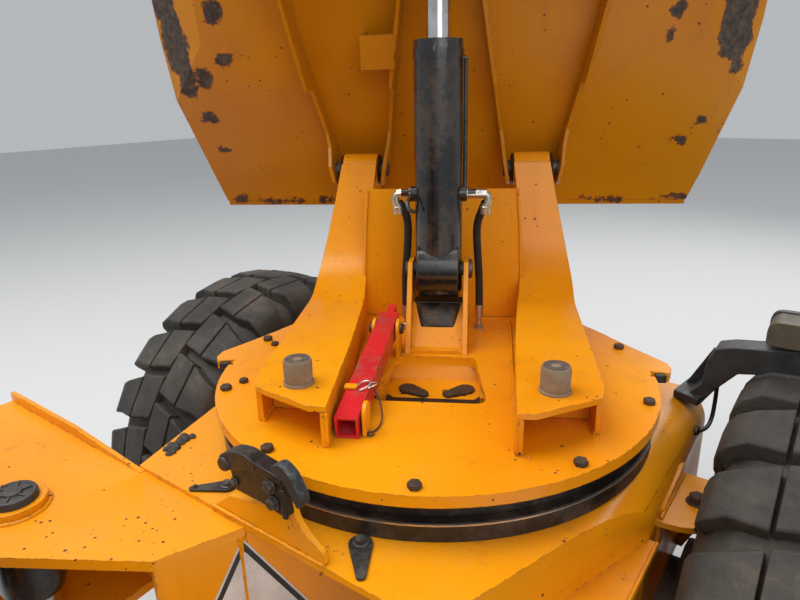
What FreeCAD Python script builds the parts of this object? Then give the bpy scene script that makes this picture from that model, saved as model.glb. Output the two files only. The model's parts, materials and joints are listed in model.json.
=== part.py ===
import FreeCAD, Part
import math
import os

os.makedirs("parts", exist_ok=True)

V = FreeCAD.Vector

# Articulated swivel-skip site dumper, lengths in millimetres, angles in degrees.
# It is drawn about the slew axis: +X to its right, +Y forward, +Z up, ground at Z = 0.
# The skip stands tipped forward and swung to the left.

# place of the slew axis in the finished frame
SLEW_X = 100.0
SLEW_Y = 916.0

# pose of the moving upper works
SWIVEL_DEG = 29.5
TIP_DEG = 78.0

# wheels and axles
TYRE_OD = 1075.0
TYRE_WIDTH = 400.0
RIM_R = 262.0
AXLE_Z = TYRE_OD / 2.0
FRONT_AXLE_Y = 212.0
REAR_AXLE_Y = -1990.0
PIVOT_Y = -890.0
WHEEL_SIDES = 24
AXLE_SIDES = 16
LUGS = 16

# clearances
PIN_GAP = 0.05
SEAT_GAP = 0.3
RUN_GAP = 6.0

# front chassis
DECK_TOP = AXLE_Z + 402.5
DECK_T = 12.0
DECK_HALF = 505.0
DECK_FRONT = 420.0
DECK_REAR = -535.0
DECK_REAR_HALF = DECK_HALF - 160.0
DECK_BEND_R = 80.0
TAPER_Y = -40.0
CHASSIS_LOW = AXLE_Z + 62.5
GUSSET_Z = DECK_TOP - 115.0
WHEEL_X = DECK_HALF + 275.0
PAD_IN = DECK_HALF - 160.0
PAD_OUT = DECK_HALF - 60.0
PAD_TOP = AXLE_Z + 78.0

# slew ring and turntable
RING_R = 470.0
RING_UP_R = 452.0
RING_IN_R = 372.0
RING_H = 36.0
RING_GAP = 0.3
TABLE_T = 22.0
TABLE_R = 480.0
TABLE_LOW = DECK_TOP + 2.0 * RING_H + RING_GAP
TABLE_TOP = TABLE_LOW + TABLE_T

# towers, in the swivel frame
FOOT_TOP = DECK_TOP + 176.0
FOOT_T = 12.0
BEND_Y = 390.0
TOWER_TOP = DECK_TOP + 503.0
TOWER_TOP_Y = 478.0
HINGE_Y = 530.0
HINGE_Z = DECK_TOP + 480.0
HINGE_PIN_R = 22.0
WEB_Y = 350.0
WEB_TOP = HINGE_Z - 32.0

# rubber buffers and the rests over them
BUFFER_H = 50.0
BUFFER_Y = -265.0
REST_Z = FOOT_TOP + BUFFER_H + 5.0 - HINGE_Z
REST_Y = BUFFER_Y - HINGE_Y

# tipping ram
RAM_FOOT_Y = 210.0
RAM_FOOT_Z = DECK_TOP + 271.0
RAM_BARREL_R = 57.0
RAM_ROD_R = 27.0
RAM_PIN_R = 17.5
RAM_BARREL_L = 530.0
EYE_Y = -963.0
EYE_Z = -105.0

# skip, lowered, about its hinge
SHEET_T = 8.0
LIP_Y = 133.0
FOLD_A_Y = 55.0
FOLD_A_Z = 101.0
FOLD_B_Y = -363.0
FOLD_B_Z = -35.0
CORNER_Y = -205.0
SKIP_REAR_Y = -1080.0
SKIP_RAKE = 0.24
RIM_Z = 500.0
FLOOR_HALF = 645.0
SKIP_HALF = 800.0
LIP_HALF = 713.0

# steering
WING_TOP = DECK_TOP - 8.0
WING_T = 20.0
WING_PIN_X = -424.0
WING_PIN_Y = -734.0
STEER_FOOT = (-350.0, -1590.0)
STEER_Z = AXLE_Z + 182.5
STEER_BARREL_L = 560.0
STEER_EYE_H = 30.0
TONGUE_LOW = CHASSIS_LOW + 20.0
TONGUE_TOP = TONGUE_LOW + 60.0
PIVOT_PIN_R = 32.0

# rear half
RAIL_X = 240.0
RAIL_T = 16.0
RAIL_TOP = AXLE_Z + 122.5
RAIL_LOW = RAIL_TOP - 180.0
ARCH_TOP = RAIL_TOP + 80.0
PLATFORM_Z = RAIL_TOP + 170.0
PLATE_T = 8.0
PLATFORM_FRONT = -1050.0
SEAT_BASE_FRONT = -1500.0
SEAT_BASE_REAR = -1985.0
SEAT_BASE_HALF = 400.0
SEAT_BASE_TOP = PLATFORM_Z + 270.0
BONNET_HALF = 415.0
BONNET_FRONT = SEAT_BASE_REAR - 140.0
BONNET_REAR = BONNET_FRONT - 765.0
BONNET_LOW = RAIL_TOP + 240.0
BONNET_TOP = BONNET_LOW + 530.0
BUMPER_FRONT = BONNET_REAR + 25.0
BUMPER_REAR = BUMPER_FRONT - 105.0
BUMPER_TOP = BONNET_LOW - 20.0
HITCH_Z = RAIL_TOP - 90.0
ROPS_TOP = PLATFORM_Z + 1810.0
ROPS_X = 460.0
ROPS_Y = -2055.0
ROPS_SIDE = 60.0



def save(name, shape):
    if shape.ShapeType == "Compound" and len(shape.Solids) == 1:
        shape = shape.Solids[0]
    shape.exportStep("parts/" + name + ".step")


def box(x0, x1, y0, y1, z0, z1):
    return Part.makeBox(x1 - x0, y1 - y0, z1 - z0, V(x0, y0, z0))


def cyl(radius, height, at, axis=(0, 0, 1)):
    return Part.makeCylinder(radius, height, V(*at), V(*axis))


def tube(outer, inner, height, at, axis=(0, 0, 1)):
    return cyl(outer, height, at, axis).cut(cyl(inner, height, at, axis))


def face(points):
    loop = [V(*p) for p in points]
    return Part.Face(Part.makePolygon(loop + [loop[0]]))


def prism_x(profile, x0, x1):
    # profile columns: y, z
    return face([(x0, y, z) for y, z in profile]).extrude(V(x1 - x0, 0, 0))


def prism_y(profile, y0, y1):
    # profile columns: x, z
    return face([(x, y0, z) for x, z in profile]).extrude(V(0, y1 - y0, 0))


def prism_z(profile, z0, z1):
    # profile columns: x, y
    return face([(x, y, z0) for x, y in profile]).extrude(V(0, 0, z1 - z0))


def loft(sections):
    wires = []
    for s in sections:
        loop = [V(*p) for p in s]
        wires.append(Part.makePolygon(loop + [loop[0]]))
    return Part.makeLoft(wires, True, True)


def fuse(shapes):
    return shapes[0].fuse(shapes[1:]).removeSplitter()


def mirror_x(shape):
    return shape.mirror(V(0, 0, 0), V(1, 0, 0))


def both(shape):
    return [shape, mirror_x(shape)]


def edges_where(shape, test):
    return [e for e in shape.Edges if test(e.BoundBox)]


def turned(loop, sides):
    # a loop of x, radius carried round the X axis in flat facets
    step = 2.0 * math.pi / sides
    spots = [(math.cos(i * step), math.sin(i * step)) for i in range(sides)]
    faces = []
    for (xa, ra), (xb, rb) in zip(loop, loop[1:] + loop[:1]):
        if ra == 0 and rb == 0:
            continue
        for i, (c0, s0) in enumerate(spots):
            c1, s1 = spots[(i + 1) % sides]
            quad = [(xa, ra * s0, ra * c0), (xb, rb * s0, rb * c0), (xb, rb * s1, rb * c1),
                    (xa, ra * s1, ra * c1)]
            if ra == 0:
                quad = quad[:3]
            elif rb == 0:
                quad = [quad[0], quad[1], quad[3]]
            faces.append(face(quad))
    solid = Part.makeSolid(Part.makeShell(faces))
    if solid.Volume < 0:
        solid.reverse()
    return solid


def hose(points, radius, bend):
    # straight runs joined by tangent arcs
    pts = [V(*p) for p in points]
    edges = []
    start = pts[0]
    for a, b, c in zip(pts, pts[1:], pts[2:]):
        u = (a - b).normalize()
        w = (c - b).normalize()
        corner = math.pi - u.getAngle(w)
        back = bend * math.tan(corner / 2.0)
        p0 = b + u * back
        p1 = b + w * back
        mid = (u + w).normalize()
        centre = b + mid * (bend / math.cos(corner / 2.0))
        edges.append(Part.makeLine(start, p0))
        edges.append(Part.Arc(p0, centre - mid * bend, p1).toShape())
        start = p1
    edges.append(Part.makeLine(start, pts[-1]))
    path = Part.Wire(edges)
    ring = Part.Wire(Part.makeCircle(radius, pts[0], (pts[1] - pts[0]).normalize()))
    return path.makePipeShell([ring], True, False)


def to_world(shape):
    s = shape.copy()
    s.translate(V(SLEW_X, SLEW_Y, 0))
    return s


def swivelled(shape):
    s = shape.copy()
    s.rotate(V(0, 0, 0), V(0, 0, 1), SWIVEL_DEG)
    return to_world(s)


def tipped(shape):
    # from the skip's lowered frame about its hinge
    s = shape.copy()
    s.rotate(V(0, 0, 0), V(1, 0, 0), -TIP_DEG)
    s.translate(V(0, HINGE_Y, HINGE_Z))
    return swivelled(s)


def put(name, shape, place=to_world):
    save(name, place(shape))


# front chassis: bent deck with vertical sides, tapering towards the pivot
def deck_body(inset, low):
    h = DECK_HALF - inset
    top = DECK_TOP - inset
    body = box(-h, h, DECK_REAR + inset, DECK_FRONT - inset, low, top)
    bend = edges_where(body, lambda b: b.ZMin > top - 1 and b.YLength > h)
    body = body.makeFillet(DECK_BEND_R - inset, bend)
    # columns: x, y
    plan = [(h + 1, DECK_FRONT), (h + 1, TAPER_Y), (h, TAPER_Y), (DECK_REAR_HALF - inset,
                                                                  DECK_REAR + inset),
            (DECK_REAR_HALF - inset, DECK_REAR)]
    plan = plan + [(-x, y) for x, y in reversed(plan)]
    return body.common(prism_z(plan, low - 1, top + 1))


shell = deck_body(0.0, CHASSIS_LOW).cut(deck_body(DECK_T, CHASSIS_LOW - 1.0))
shell = shell.cut(cyl(RING_IN_R - 40.0, DECK_T * 4, (0, 0, DECK_TOP - DECK_T * 2)))
gusset = prism_z([(DECK_HALF - 2, TAPER_Y), (DECK_HALF + 18, TAPER_Y), (DECK_HALF + 18, -250),
                  (DECK_REAR_HALF + 15, DECK_REAR + 15), (DECK_REAR_HALF - 6, DECK_REAR + 2)],
                 GUSSET_Z - 16, GUSSET_Z)
saddle = box(PAD_IN - 5, DECK_HALF - 35, FRONT_AXLE_Y - 90, FRONT_AXLE_Y + 90, PAD_TOP, PAD_TOP + 144)
saddle_rib = box(DECK_HALF - 35, DECK_HALF - 6, FRONT_AXLE_Y - 90, FRONT_AXLE_Y + 90, CHASSIS_LOW,
                 PAD_TOP + 144)
lug = box(DECK_HALF - 6, DECK_HALF + 55, FRONT_AXLE_Y + 40, FRONT_AXLE_Y + 190, CHASSIS_LOW + 90,
          CHASSIS_LOW + 108)
lug_rib = prism_y([(DECK_HALF - 6, CHASSIS_LOW), (DECK_HALF + 10, CHASSIS_LOW),
                   (DECK_HALF + 50, CHASSIS_LOW + 90), (DECK_HALF - 6, CHASSIS_LOW + 90)],
                  FRONT_AXLE_Y + 60, FRONT_AXLE_Y + 72)
rear_wall = box(15 - DECK_REAR_HALF, DECK_REAR_HALF - 15, DECK_REAR + 8, DECK_REAR + 20, CHASSIS_LOW,
                DECK_TOP - 6)
front_wall = box(-DECK_HALF + 6, DECK_HALF - 6, DECK_FRONT - 24, DECK_FRONT - 12, CHASSIS_LOW,
                 DECK_TOP - 90)
front_high = box(85 - DECK_HALF, DECK_HALF - 85, DECK_FRONT - 24, DECK_FRONT - 12, DECK_TOP - 91,
                 DECK_TOP - 6)
front_wall = front_wall.fuse(front_high)
# columns: x, y
tongue_half = [(110, DECK_REAR + 10), (110, PIVOT_Y + 130), (95, PIVOT_Y - 55), (55, PIVOT_Y - 95)]
tongue_plan = tongue_half + [(-x, y) for x, y in reversed(tongue_half)]
tongue = prism_z(tongue_plan, TONGUE_LOW, TONGUE_TOP)
tongue_web = prism_x([(DECK_REAR + 10, TONGUE_TOP - 1), (PIVOT_Y + 130, TONGUE_TOP - 1),
                      (DECK_REAR + 10, DECK_TOP - 40)], -8, 8)
chassis = fuse([shell] + both(gusset) + both(saddle) + both(saddle_rib) + both(lug) + both(lug_rib)
               + [rear_wall, front_wall, tongue, tongue_web])
chassis = chassis.cut(cyl(PIVOT_PIN_R + PIN_GAP, 200, (0, PIVOT_Y, TONGUE_LOW - 50)))
put("front_chassis", chassis)

# steering bracket: plate level with the deck, upstand on its front edge, boxed web on its right
WING_LOW = WING_TOP - WING_T
WEB_LOW = STEER_Z - STEER_EYE_H - 38.0
# columns: x, y
wing_plan = [(-34, DECK_REAR), (-882, DECK_REAR), (-882, -930), (-560, -905), (-303, -811), (-90, -675)]
wing = prism_z(wing_plan, WING_LOW, WING_TOP)
lip_low = WING_TOP - 2
# the upstand grows from nothing to its full height towards the left, columns: x, z
lip = prism_y([(-330, lip_low), (-330, WING_TOP + 2), (-882, WING_TOP + 44), (-882, lip_low)],
              DECK_REAR - 10, DECK_REAR)
boss = cyl(54, 17, (WING_PIN_X, WING_PIN_Y, WING_TOP - 1))
web_right = prism_z([(-34, DECK_REAR), (-50, DECK_REAR), (-104, -672), (-90, -675)], TONGUE_TOP + 20,
                    WING_LOW + 1)
web_front = box(-DECK_REAR_HALF, -34, DECK_REAR - 14, DECK_REAR, TONGUE_TOP + 20, WING_LOW + 1)
web_end = box(-576, -DECK_REAR_HALF, DECK_REAR - 14, DECK_REAR, WEB_LOW, WING_LOW + 1)
web_left = box(-576, -560, -820, DECK_REAR, WEB_LOW, WING_LOW + 1)
under = prism_z([(-DECK_REAR_HALF, DECK_REAR), (-576, DECK_REAR), (-576, -820), (-330, -800)], WEB_LOW,
                WEB_LOW + 20)
stub_up = cyl(25, WING_LOW - STEER_Z - STEER_EYE_H - 4, (WING_PIN_X, WING_PIN_Y, STEER_Z + STEER_EYE_H + 5))
stub_low = cyl(40, 13, (WING_PIN_X, WING_PIN_Y, WEB_LOW + 19))
bracket = fuse([wing, lip, boss, web_right, web_front, web_left, under, web_end, stub_up, stub_low])
put("steering_bracket", bracket)


# axles
def axle(y):
    reach = WHEEL_X + 39.7
    # columns: x, radius
    half = [(70, 140), (130, 85), (WHEEL_X - 330, 62), (WHEEL_X - 250, 62), (WHEEL_X - 250, 115),
            (WHEEL_X - 150, 115), (WHEEL_X - 130, 95), (WHEEL_X - 20, 95), (WHEEL_X - 20, 118),
            (WHEEL_X + 20, 118), (WHEEL_X + 20, 84), (reach, 84), (reach, 0)]
    body = turned([(-x, r) for x, r in reversed(half)] + half, AXLE_SIDES)
    spindle = [cyl(44, 61, (x, 0, 0), (1, 0, 0)) for x in (reach - 1, -reach - 60)]
    body = body.fuse(spindle)
    body.translate(V(0, y, AXLE_Z))
    pad = box(PAD_IN, PAD_OUT, y - 80, y + 80, AXLE_Z + 10, PAD_TOP)
    return fuse([body] + both(pad))


put("front_axle", axle(FRONT_AXLE_Y))
put("rear_axle", axle(REAR_AXLE_Y))

# slew ring
put("slew_ring_lower", tube(RING_R, RING_IN_R, RING_H, (0, 0, DECK_TOP)))
put("slew_ring_upper", tube(RING_UP_R, RING_IN_R, RING_H, (0, 0, DECK_TOP + RING_H + RING_GAP)), swivelled)

# turntable plate with its locking notches and the well under the ram
# columns: x, y
prow_half = [(500, 38), (376, 290), (258, 500)]
prow = prism_z(prow_half + [(-x, y) for x, y in reversed(prow_half)], TABLE_LOW, TABLE_TOP)
table = cyl(TABLE_R, TABLE_T, (0, 0, TABLE_LOW)).fuse(prow).removeSplitter()
# columns: x, y
well_half = [(92, 62), (118, -168)]
well_plan = well_half + [(-x, y) for x, y in reversed(well_half)]
well = prism_z(well_plan, TABLE_LOW - 60, TABLE_TOP + 5)
well_edges = edges_where(well, lambda b: b.ZLength > 20)
well = well.makeFillet(22, well_edges)
table = table.cut(well)
for side in (-1.0, 1.0):
    notch = box(470, 520, -14, 14, TABLE_LOW - 5, TABLE_TOP + 5)
    table = table.cut(notch if side > 0 else mirror_x(notch))
# pan of the well
PAN_Z = TABLE_LOW - 38.0
pan_back = prism_x([(62, TABLE_LOW), (74, TABLE_LOW), (58, PAN_Z), (46, PAN_Z)], -105, 105)
pan_floor = prism_x([(-100, PAN_Z - 14), (-100, PAN_Z - 4), (58, PAN_Z + 8), (58, PAN_Z - 2)], -118, 118)
pan_side = prism_x([(74, TABLE_LOW), (62, PAN_Z - 2), (-100, PAN_Z - 14), (-100, TABLE_LOW)], 105, 118)
slot = box(20, 74, -22, 4, PAN_Z - 40, PAN_Z + 30)
pan = fuse([pan_back, pan_floor] + both(pan_side)).cut(Part.makeCompound(both(slot)))
put("turntable_plate", fuse([table, pan]), swivelled)


# towers: bent cover plate over two side plates, hinge boss at the top
def tower():
    foot_low = FOOT_TOP - FOOT_T
    # columns: x, y
    foot = prism_z([(163, -352), (195, -356), (325, -280), (350, BEND_Y), (205, BEND_Y)], foot_low,
                   FOOT_TOP)
    # outline seen from the front, columns: x, z
    front = prism_y([(205, FOOT_TOP - 14), (350, FOOT_TOP - 14), (350, FOOT_TOP), (291, TOWER_TOP),
                     (192, TOWER_TOP), (205, FOOT_TOP)], BEND_Y - 50, 700)
    # columns: y, z
    cover = prism_x([(BEND_Y, FOOT_TOP), (TOWER_TOP_Y, TOWER_TOP), (TOWER_TOP_Y + 12, TOWER_TOP),
                     (BEND_Y + 10, foot_low), (BEND_Y - 2, foot_low)], 150, 400).common(front)
    back = prism_x([(500, foot_low), (512, foot_low), (585, HINGE_Z - 20), (573, HINGE_Z - 20)], 150, 400)
    back = back.common(front)
    back = back.fuse(box(200, 240, 500, 512, TABLE_TOP, foot_low + 1))
    # side plates, columns: y, z
    side = [(-350, TABLE_TOP), (500, TABLE_TOP), (585, HINGE_Z - 30), (585, HINGE_Z), (TOWER_TOP_Y + 2,
                                                                                       TOWER_TOP - 2),
            (BEND_Y, FOOT_TOP - 2), (-350, foot_low + 1)]
    inner = prism_x(side, 0, 12)
    inner.rotate(V(0, -350, 0), V(0, 0, 1), -2.0)
    inner.translate(V(164, 0, 0))
    outer = box(308, 320, -270, 250, TABLE_TOP, foot_low + 1)
    # the upper outer plate leans in with the cover, columns: x, z
    high = prism_y([(338, FOOT_TOP - 2), (350, FOOT_TOP - 2), (350, FOOT_TOP), (291, TOWER_TOP), (279,
                                                                                                  TOWER_TOP),
                    (338, FOOT_TOP)], BEND_Y - 40, 600)
    high = high.common(prism_x([(BEND_Y, FOOT_TOP - 4), (505, FOOT_TOP - 4), (585, HINGE_Z - 30), (585,
                                                                                                   HINGE_Z),
                                (TOWER_TOP_Y + 2, TOWER_TOP - 2)], 200, 400))
    base = box(308, 350, 238, 505, foot_low - 10, foot_low + 1)
    cross = box(170, 312, -215, -205, TABLE_TOP, foot_low + 1)
    eye = cyl(46, 99, (192, HINGE_Y, HINGE_Z), (1, 0, 0))
    body = fuse([foot, cover, inner, outer, high, base, cross, back, eye])
    return body.cut(cyl(HINGE_PIN_R + PIN_GAP, 400, (100, HINGE_Y, HINGE_Z), (1, 0, 0)))


tower_right = tower()
put("tower_right", tower_right, swivelled)
put("tower_left", mirror_x(tower_right), swivelled)
put("tower_web", prism_y([(-184, TABLE_TOP), (184, TABLE_TOP), (184, WEB_TOP), (-184, WEB_TOP)], WEB_Y,
                         WEB_Y + 12),
    swivelled)

# ram foot: two leaning cheeks with a dirt plate between them, columns: y, z
cheek = [(75, TABLE_TOP), (340, TABLE_TOP), (300, 1150), (RAM_FOOT_Y + 42, RAM_FOOT_Z + 20),
         (RAM_FOOT_Y + 20, 1253),
         (RAM_FOOT_Y - 20, 1253), (RAM_FOOT_Y - 45, RAM_FOOT_Z)]
cheek_plate = prism_x(cheek, 62, 74)
dirt_plate = prism_x([(95, TABLE_TOP), (105, TABLE_TOP), (190, 1120), (190, 1130)], -62, 62)
foot = fuse(both(cheek_plate) + [dirt_plate, box(-62, 62, 82, 108, TABLE_TOP, TABLE_TOP + 8)])
foot = foot.cut(cyl(RAM_PIN_R + PIN_GAP, 200, (-100, RAM_FOOT_Y, RAM_FOOT_Z), (1, 0, 0)))
put("ram_foot", foot, swivelled)
ram_pin = fuse([cyl(RAM_PIN_R, 166, (-82, RAM_FOOT_Y, RAM_FOOT_Z), (1, 0, 0)),
                cyl(24, 8, (74 + SEAT_GAP, RAM_FOOT_Y, RAM_FOOT_Z), (1, 0, 0))])
put("ram_pin_lower", ram_pin, swivelled)

# rubber buffers the lowered skip rests on
pads = [tube(27, 7, BUFFER_H, (x, BUFFER_Y, FOOT_TOP)) for x in (-235.0, 235.0)]
put("rubber_buffers", Part.makeCompound(pads), swivelled)

# red safety prop lying on the turntable, held at its pivot ears
PROP_SIDE = 44.0
PROP_WALL = 5.0
PROP_LEN = 440.0
PROP_PIVOT = 395.0
PROP_TURN = -3.0
PROP_RISE = 6.5
PROP_X = -136.0
PROP_Y = -322.0
half = PROP_SIDE / 2.0
prop = box(-half, half, 0, PROP_LEN, -half, half)
bore = half - PROP_WALL
prop = prop.cut(box(-bore, bore, -10, PROP_LEN - 30, -bore, bore))
tab = box(-9, 9, PROP_LEN - 12, PROP_LEN + 42, -6, 22)
prop = fuse([prop, tab]).cut(cyl(9, 60, (-30, PROP_PIVOT, 0), (1, 0, 0)))
prop.rotate(V(0, 0, 0), V(1, 0, 0), PROP_RISE)
prop.rotate(V(0, 0, 0), V(0, 0, 1), PROP_TURN)
rise = math.radians(PROP_RISE)
prop_z = TABLE_TOP + half * math.cos(rise) + SEAT_GAP
prop.translate(V(PROP_X, PROP_Y, prop_z))
put("safety_prop", prop, swivelled)
pivot_up = PROP_PIVOT * math.sin(rise)
pivot_out = PROP_PIVOT * math.cos(rise)
ear_low = TABLE_TOP - prop_z - pivot_up
ears = []
for x in (half + 2, -half - 10):
    ears.append(fuse([box(x, x + 8, -24, 24, ear_low, 0), cyl(24, 8, (x, 0, 0), (1, 0, 0))]))
ears.append(cyl(9 - PIN_GAP, 2 * half + 32, (-half - 16, 0, 0), (1, 0, 0)))
prop_ears = fuse(ears)
prop_ears.translate(V(0, pivot_out, pivot_up))
keeper = fuse([box(half + 4, half + 12, 10, 50, TABLE_TOP - prop_z, 20), cyl(20, 8, (half + 4, 30, 20),
                                                                             (1, 0, 0))])
prop_ears = Part.makeCompound([prop_ears, keeper])
prop_ears.rotate(V(0, 0, 0), V(0, 0, 1), PROP_TURN)
prop_ears.translate(V(PROP_X, PROP_Y, prop_z))
put("prop_ears", prop_ears, swivelled)

# hinge pins, each through its tower and the rib plates beside it
pins = [cyl(HINGE_PIN_R, 162, (x0, HINGE_Y, HINGE_Z), (1, 0, 0)) for x0 in (164.0, -326.0)]
put("skip_hinge_pins", Part.makeCompound(pins), swivelled)


# skip shell by cross sections along Y
def skip_body(o, up):
    # columns: y, floor z, floor half, chamfer z, wall half, rim z, rim half
    table = [(LIP_Y, FOLD_A_Z, LIP_HALF, FOLD_A_Z + 3, LIP_HALF + 1, FOLD_A_Z + 16, LIP_HALF + 3),
             (FOLD_A_Y, FOLD_A_Z, 738, FOLD_A_Z + 4, 740, 190, 748),
             (CORNER_Y, 17, 771, 22, 775, 452, 812),
             (FOLD_B_Y, FOLD_B_Z, FLOOR_HALF, 55, SKIP_HALF, RIM_Z, 825),
             (SKIP_REAR_Y, FOLD_B_Z, FLOOR_HALF, 55, SKIP_HALF, RIM_Z, 825)]
    secs = []
    for i, (y, zf, hf, zc, hw, zr, hr) in enumerate(table):
        rake = SKIP_RAKE if i == len(table) - 1 else 0.0
        y = y + (o if rake else 0.0) + (30.0 if up and i == 0 else 0.0)
        half = [(hf - 0.5 * o, zf + o), (hw - o, zc + o), (hr - o, zr + up)]
        loop = half + [(-x, z) for x, z in reversed(half)]
        secs.append([(x, y - rake * (z - zf), z) for x, z in loop])
    return loft(secs)


skip = skip_body(0.0, 0.0).cut(skip_body(SHEET_T, 40.0)).removeSplitter()
put("skip_shell", skip, tipped)

# ribs under the skip: standing plates that start at the hinge and spread or close towards the rear
# columns: y, z
air = [(200, FOLD_A_Z), (FOLD_A_Y, FOLD_A_Z), (FOLD_B_Y, FOLD_B_Z), (-1300, FOLD_B_Z), (-1300, 900),
       (200, 900)]
floor_cut = prism_x(air, -900, 900)
# columns: y, z
rib_loop = [(34, 160), (-1060, 160), (-1060, -90), (REST_Y - 100, -110), (REST_Y - 45, REST_Z),
            (REST_Y + 45, REST_Z), (-470, -120), (-250, -100), (-245, -45), (-110, 0), (-70, -10),
                (-30, -58),
            (18, -58), (34, -40)]


def rib(x, turn, back_y, thick=10.0):
    loop = [(max(y, back_y), z) for y, z in rib_loop]
    plate = prism_x(loop, 0, thick)
    plate.rotate(V(0, 0, 0), V(0, 0, 1), turn)
    plate.translate(V(x, 0, 0))
    return plate


rest = box(80, 440, REST_Y - 35, REST_Y + 35, REST_Z, 0)
rest_shell = rest.cut(box(50, 450, REST_Y - 27, REST_Y + 27, REST_Z + 8, 10))
rest_limit = prism_z([(80, REST_Y - 60), (80, REST_Y + 60),
                      (314 - 0.158 * REST_Y, REST_Y + 60), (314 - 0.158 * REST_Y, REST_Y - 60)],
                          REST_Z - 1, 1)
rest_shell = rest_shell.common(rest_limit)
outer_rib = rib(314, 9.0, -1060)
inner_rib = rib(168, -9.0, -1060)
# behind the bend the inner rib runs straight beside the ram
BEND_RIB_X = 78.0
bend_y = (BEND_RIB_X - 168.0) / 0.158
bend_fall = (REST_Z + 120.0) / (REST_Y + 45.0 + 470.0)
join_y = bend_y + 8.0
back_loop = [(join_y, 160)] + rib_loop[1:6] + [(join_y, -120.0 + bend_fall * (join_y + 470.0))]
inner_back = prism_x(back_loop, BEND_RIB_X, BEND_RIB_X + 10)
rib_set = fuse([outer_rib, inner_rib, inner_back, rest_shell]).cut(floor_cut)
rib_set = rib_set.common(box(BEND_RIB_X, 700, -1100, 200, -400, 400))
rib_set = rib_set.cut(cyl(HINGE_PIN_R + PIN_GAP, 500, (100, 0, 0), (1, 0, 0)))
put("skip_ribs_right", rib_set, tipped)

# eye bracket for the ram, with stub pins so that the rod's eye stays free
ear = prism_x([(EYE_Y - 55, FOLD_B_Z), (EYE_Y + 60, FOLD_B_Z), (EYE_Y + 34, EYE_Z - 36), (EYE_Y - 34,
                                                                                          EYE_Z - 36)],
              40, 56)
ear = ear.fuse(cyl(RAM_PIN_R, 12, (56, EYE_Y, EYE_Z), (1, 0, 0)))
bracket = Part.makeCompound(both(ear))
put("ram_eye_bracket", bracket, tipped)

# socket that takes the prop when the skip is down
socket = box(-204, -118, -378, -296, -110, 60).cut(box(-196, -132, -379, -304, -102, 70)).cut(floor_cut)
put("skip_ribs_left", mirror_x(rib_set).fuse(socket).removeSplitter(), tipped)

# tipping ram, drawn upright on its foot pin
tip = math.radians(TIP_DEG)
eye_at_y = HINGE_Y + EYE_Y * math.cos(tip) + EYE_Z * math.sin(tip)
eye_at_z = HINGE_Z - EYE_Y * math.sin(tip) + EYE_Z * math.cos(tip)
RAM_LEN = math.hypot(eye_at_y - RAM_FOOT_Y, eye_at_z - RAM_FOOT_Z)
RAM_LEAN = math.degrees(math.atan2(eye_at_y - RAM_FOOT_Y, eye_at_z - RAM_FOOT_Z))


def ram_set(shape):
    s = shape.copy()
    s.rotate(V(0, 0, 0), V(1, 0, 0), -RAM_LEAN)
    s.translate(V(0, RAM_FOOT_Y, RAM_FOOT_Z))
    return swivelled(s)


barrel = fuse([cyl(RAM_BARREL_R, RAM_BARREL_L + 52, (0, 0, -52)), cyl(RAM_BARREL_R + 2, 20, (0, 0,
                                                                                             RAM_BARREL_L - 40))])
port = cyl(9, 40, (RAM_BARREL_R - 8, -12, 190), (1, 0, 0))
port_left = cyl(9, 40, (-RAM_BARREL_R - 32, -12, 190), (1, 0, 0))
pipe = fuse([cyl(5, 300, (RAM_BARREL_R + 6, -12, 190)), cyl(5, 24, (RAM_BARREL_R - 16, -12, 490), (1,
                                                                                                   0, 0))])
barrel = fuse([barrel, port, port_left, pipe])
barrel = barrel.cut(cyl(RAM_PIN_R + PIN_GAP, 200, (-100, 0, 0), (1, 0, 0)))
barrel = barrel.cut(cyl(RAM_ROD_R + PIN_GAP, RAM_BARREL_L, (0, 0, 24)))
put("ram_barrel", barrel, ram_set)
rod_low = 506.0
rod = fuse([cyl(RAM_ROD_R, RAM_LEN - rod_low, (0, 0, rod_low)), cyl(32, 64, (-32, 0, RAM_LEN), (1, 0, 0))])
rod = rod.cut(cyl(RAM_PIN_R, 200, (-100, 0, RAM_LEN), (1, 0, 0)))
put("ram_rod", rod, ram_set)


# hoses from fittings on the turntable up to the ram's ports
PORT_Z = RAM_FOOT_Z + 190.0
hoses = []
# columns: fitting x, fitting y, port end x
for x, y, end in ((-93.0, 251.0, -97.0), (102.0, 262.0, 97.0)):
    line = hose([(x, y, TABLE_TOP + 40), (x, y - 8, TABLE_TOP + 130), (x * 0.93, y - 22, PORT_Z - 120),
                 (end, 205, PORT_Z - 20)], 10, 120)
    low = cyl(13, 42, (x, y, TABLE_TOP))
    hoses.append(line.fuse(low).removeSplitter())
put("ram_hoses", Part.makeCompound(hoses), swivelled)


# wheels
def tyre():
    r = TYRE_OD / 2.0
    w = TYRE_WIDTH / 2.0
    # columns: radius, half width
    half = [(RIM_R, w - 62), (RIM_R + 16, w - 34), (RIM_R + 80, w - 8), (r - 100, w - 6), (r - 42, w - 32),
            (r - 27, w - 70)]
    loop = [(-x, rr) for rr, x in half] + [(x, rr) for rr, x in reversed(half)]
    carcass = turned(loop, WHEEL_SIDES)
    # lug outline on the tread, columns: across, along
    lug = [(6, -56), (w, -8), (w, 50), (6, 2)]
    top = math.sqrt(r * r - 56.0 * 56.0)
    block = face([(x, y, r - 80) for x, y in lug]).extrude(V(0, 0, top - r + 80))
    blocks = []
    for i in range(LUGS):
        for side in (0, 1):
            b = block.mirror(V(0, 0, 0), V(1, 0, 0)) if side else block.copy()
            b.rotate(V(0, 0, 0), V(1, 0, 0), (i + 0.5 * side) * 360.0 / LUGS)
            blocks.append(b)
    return carcass.fuse(blocks)


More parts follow.
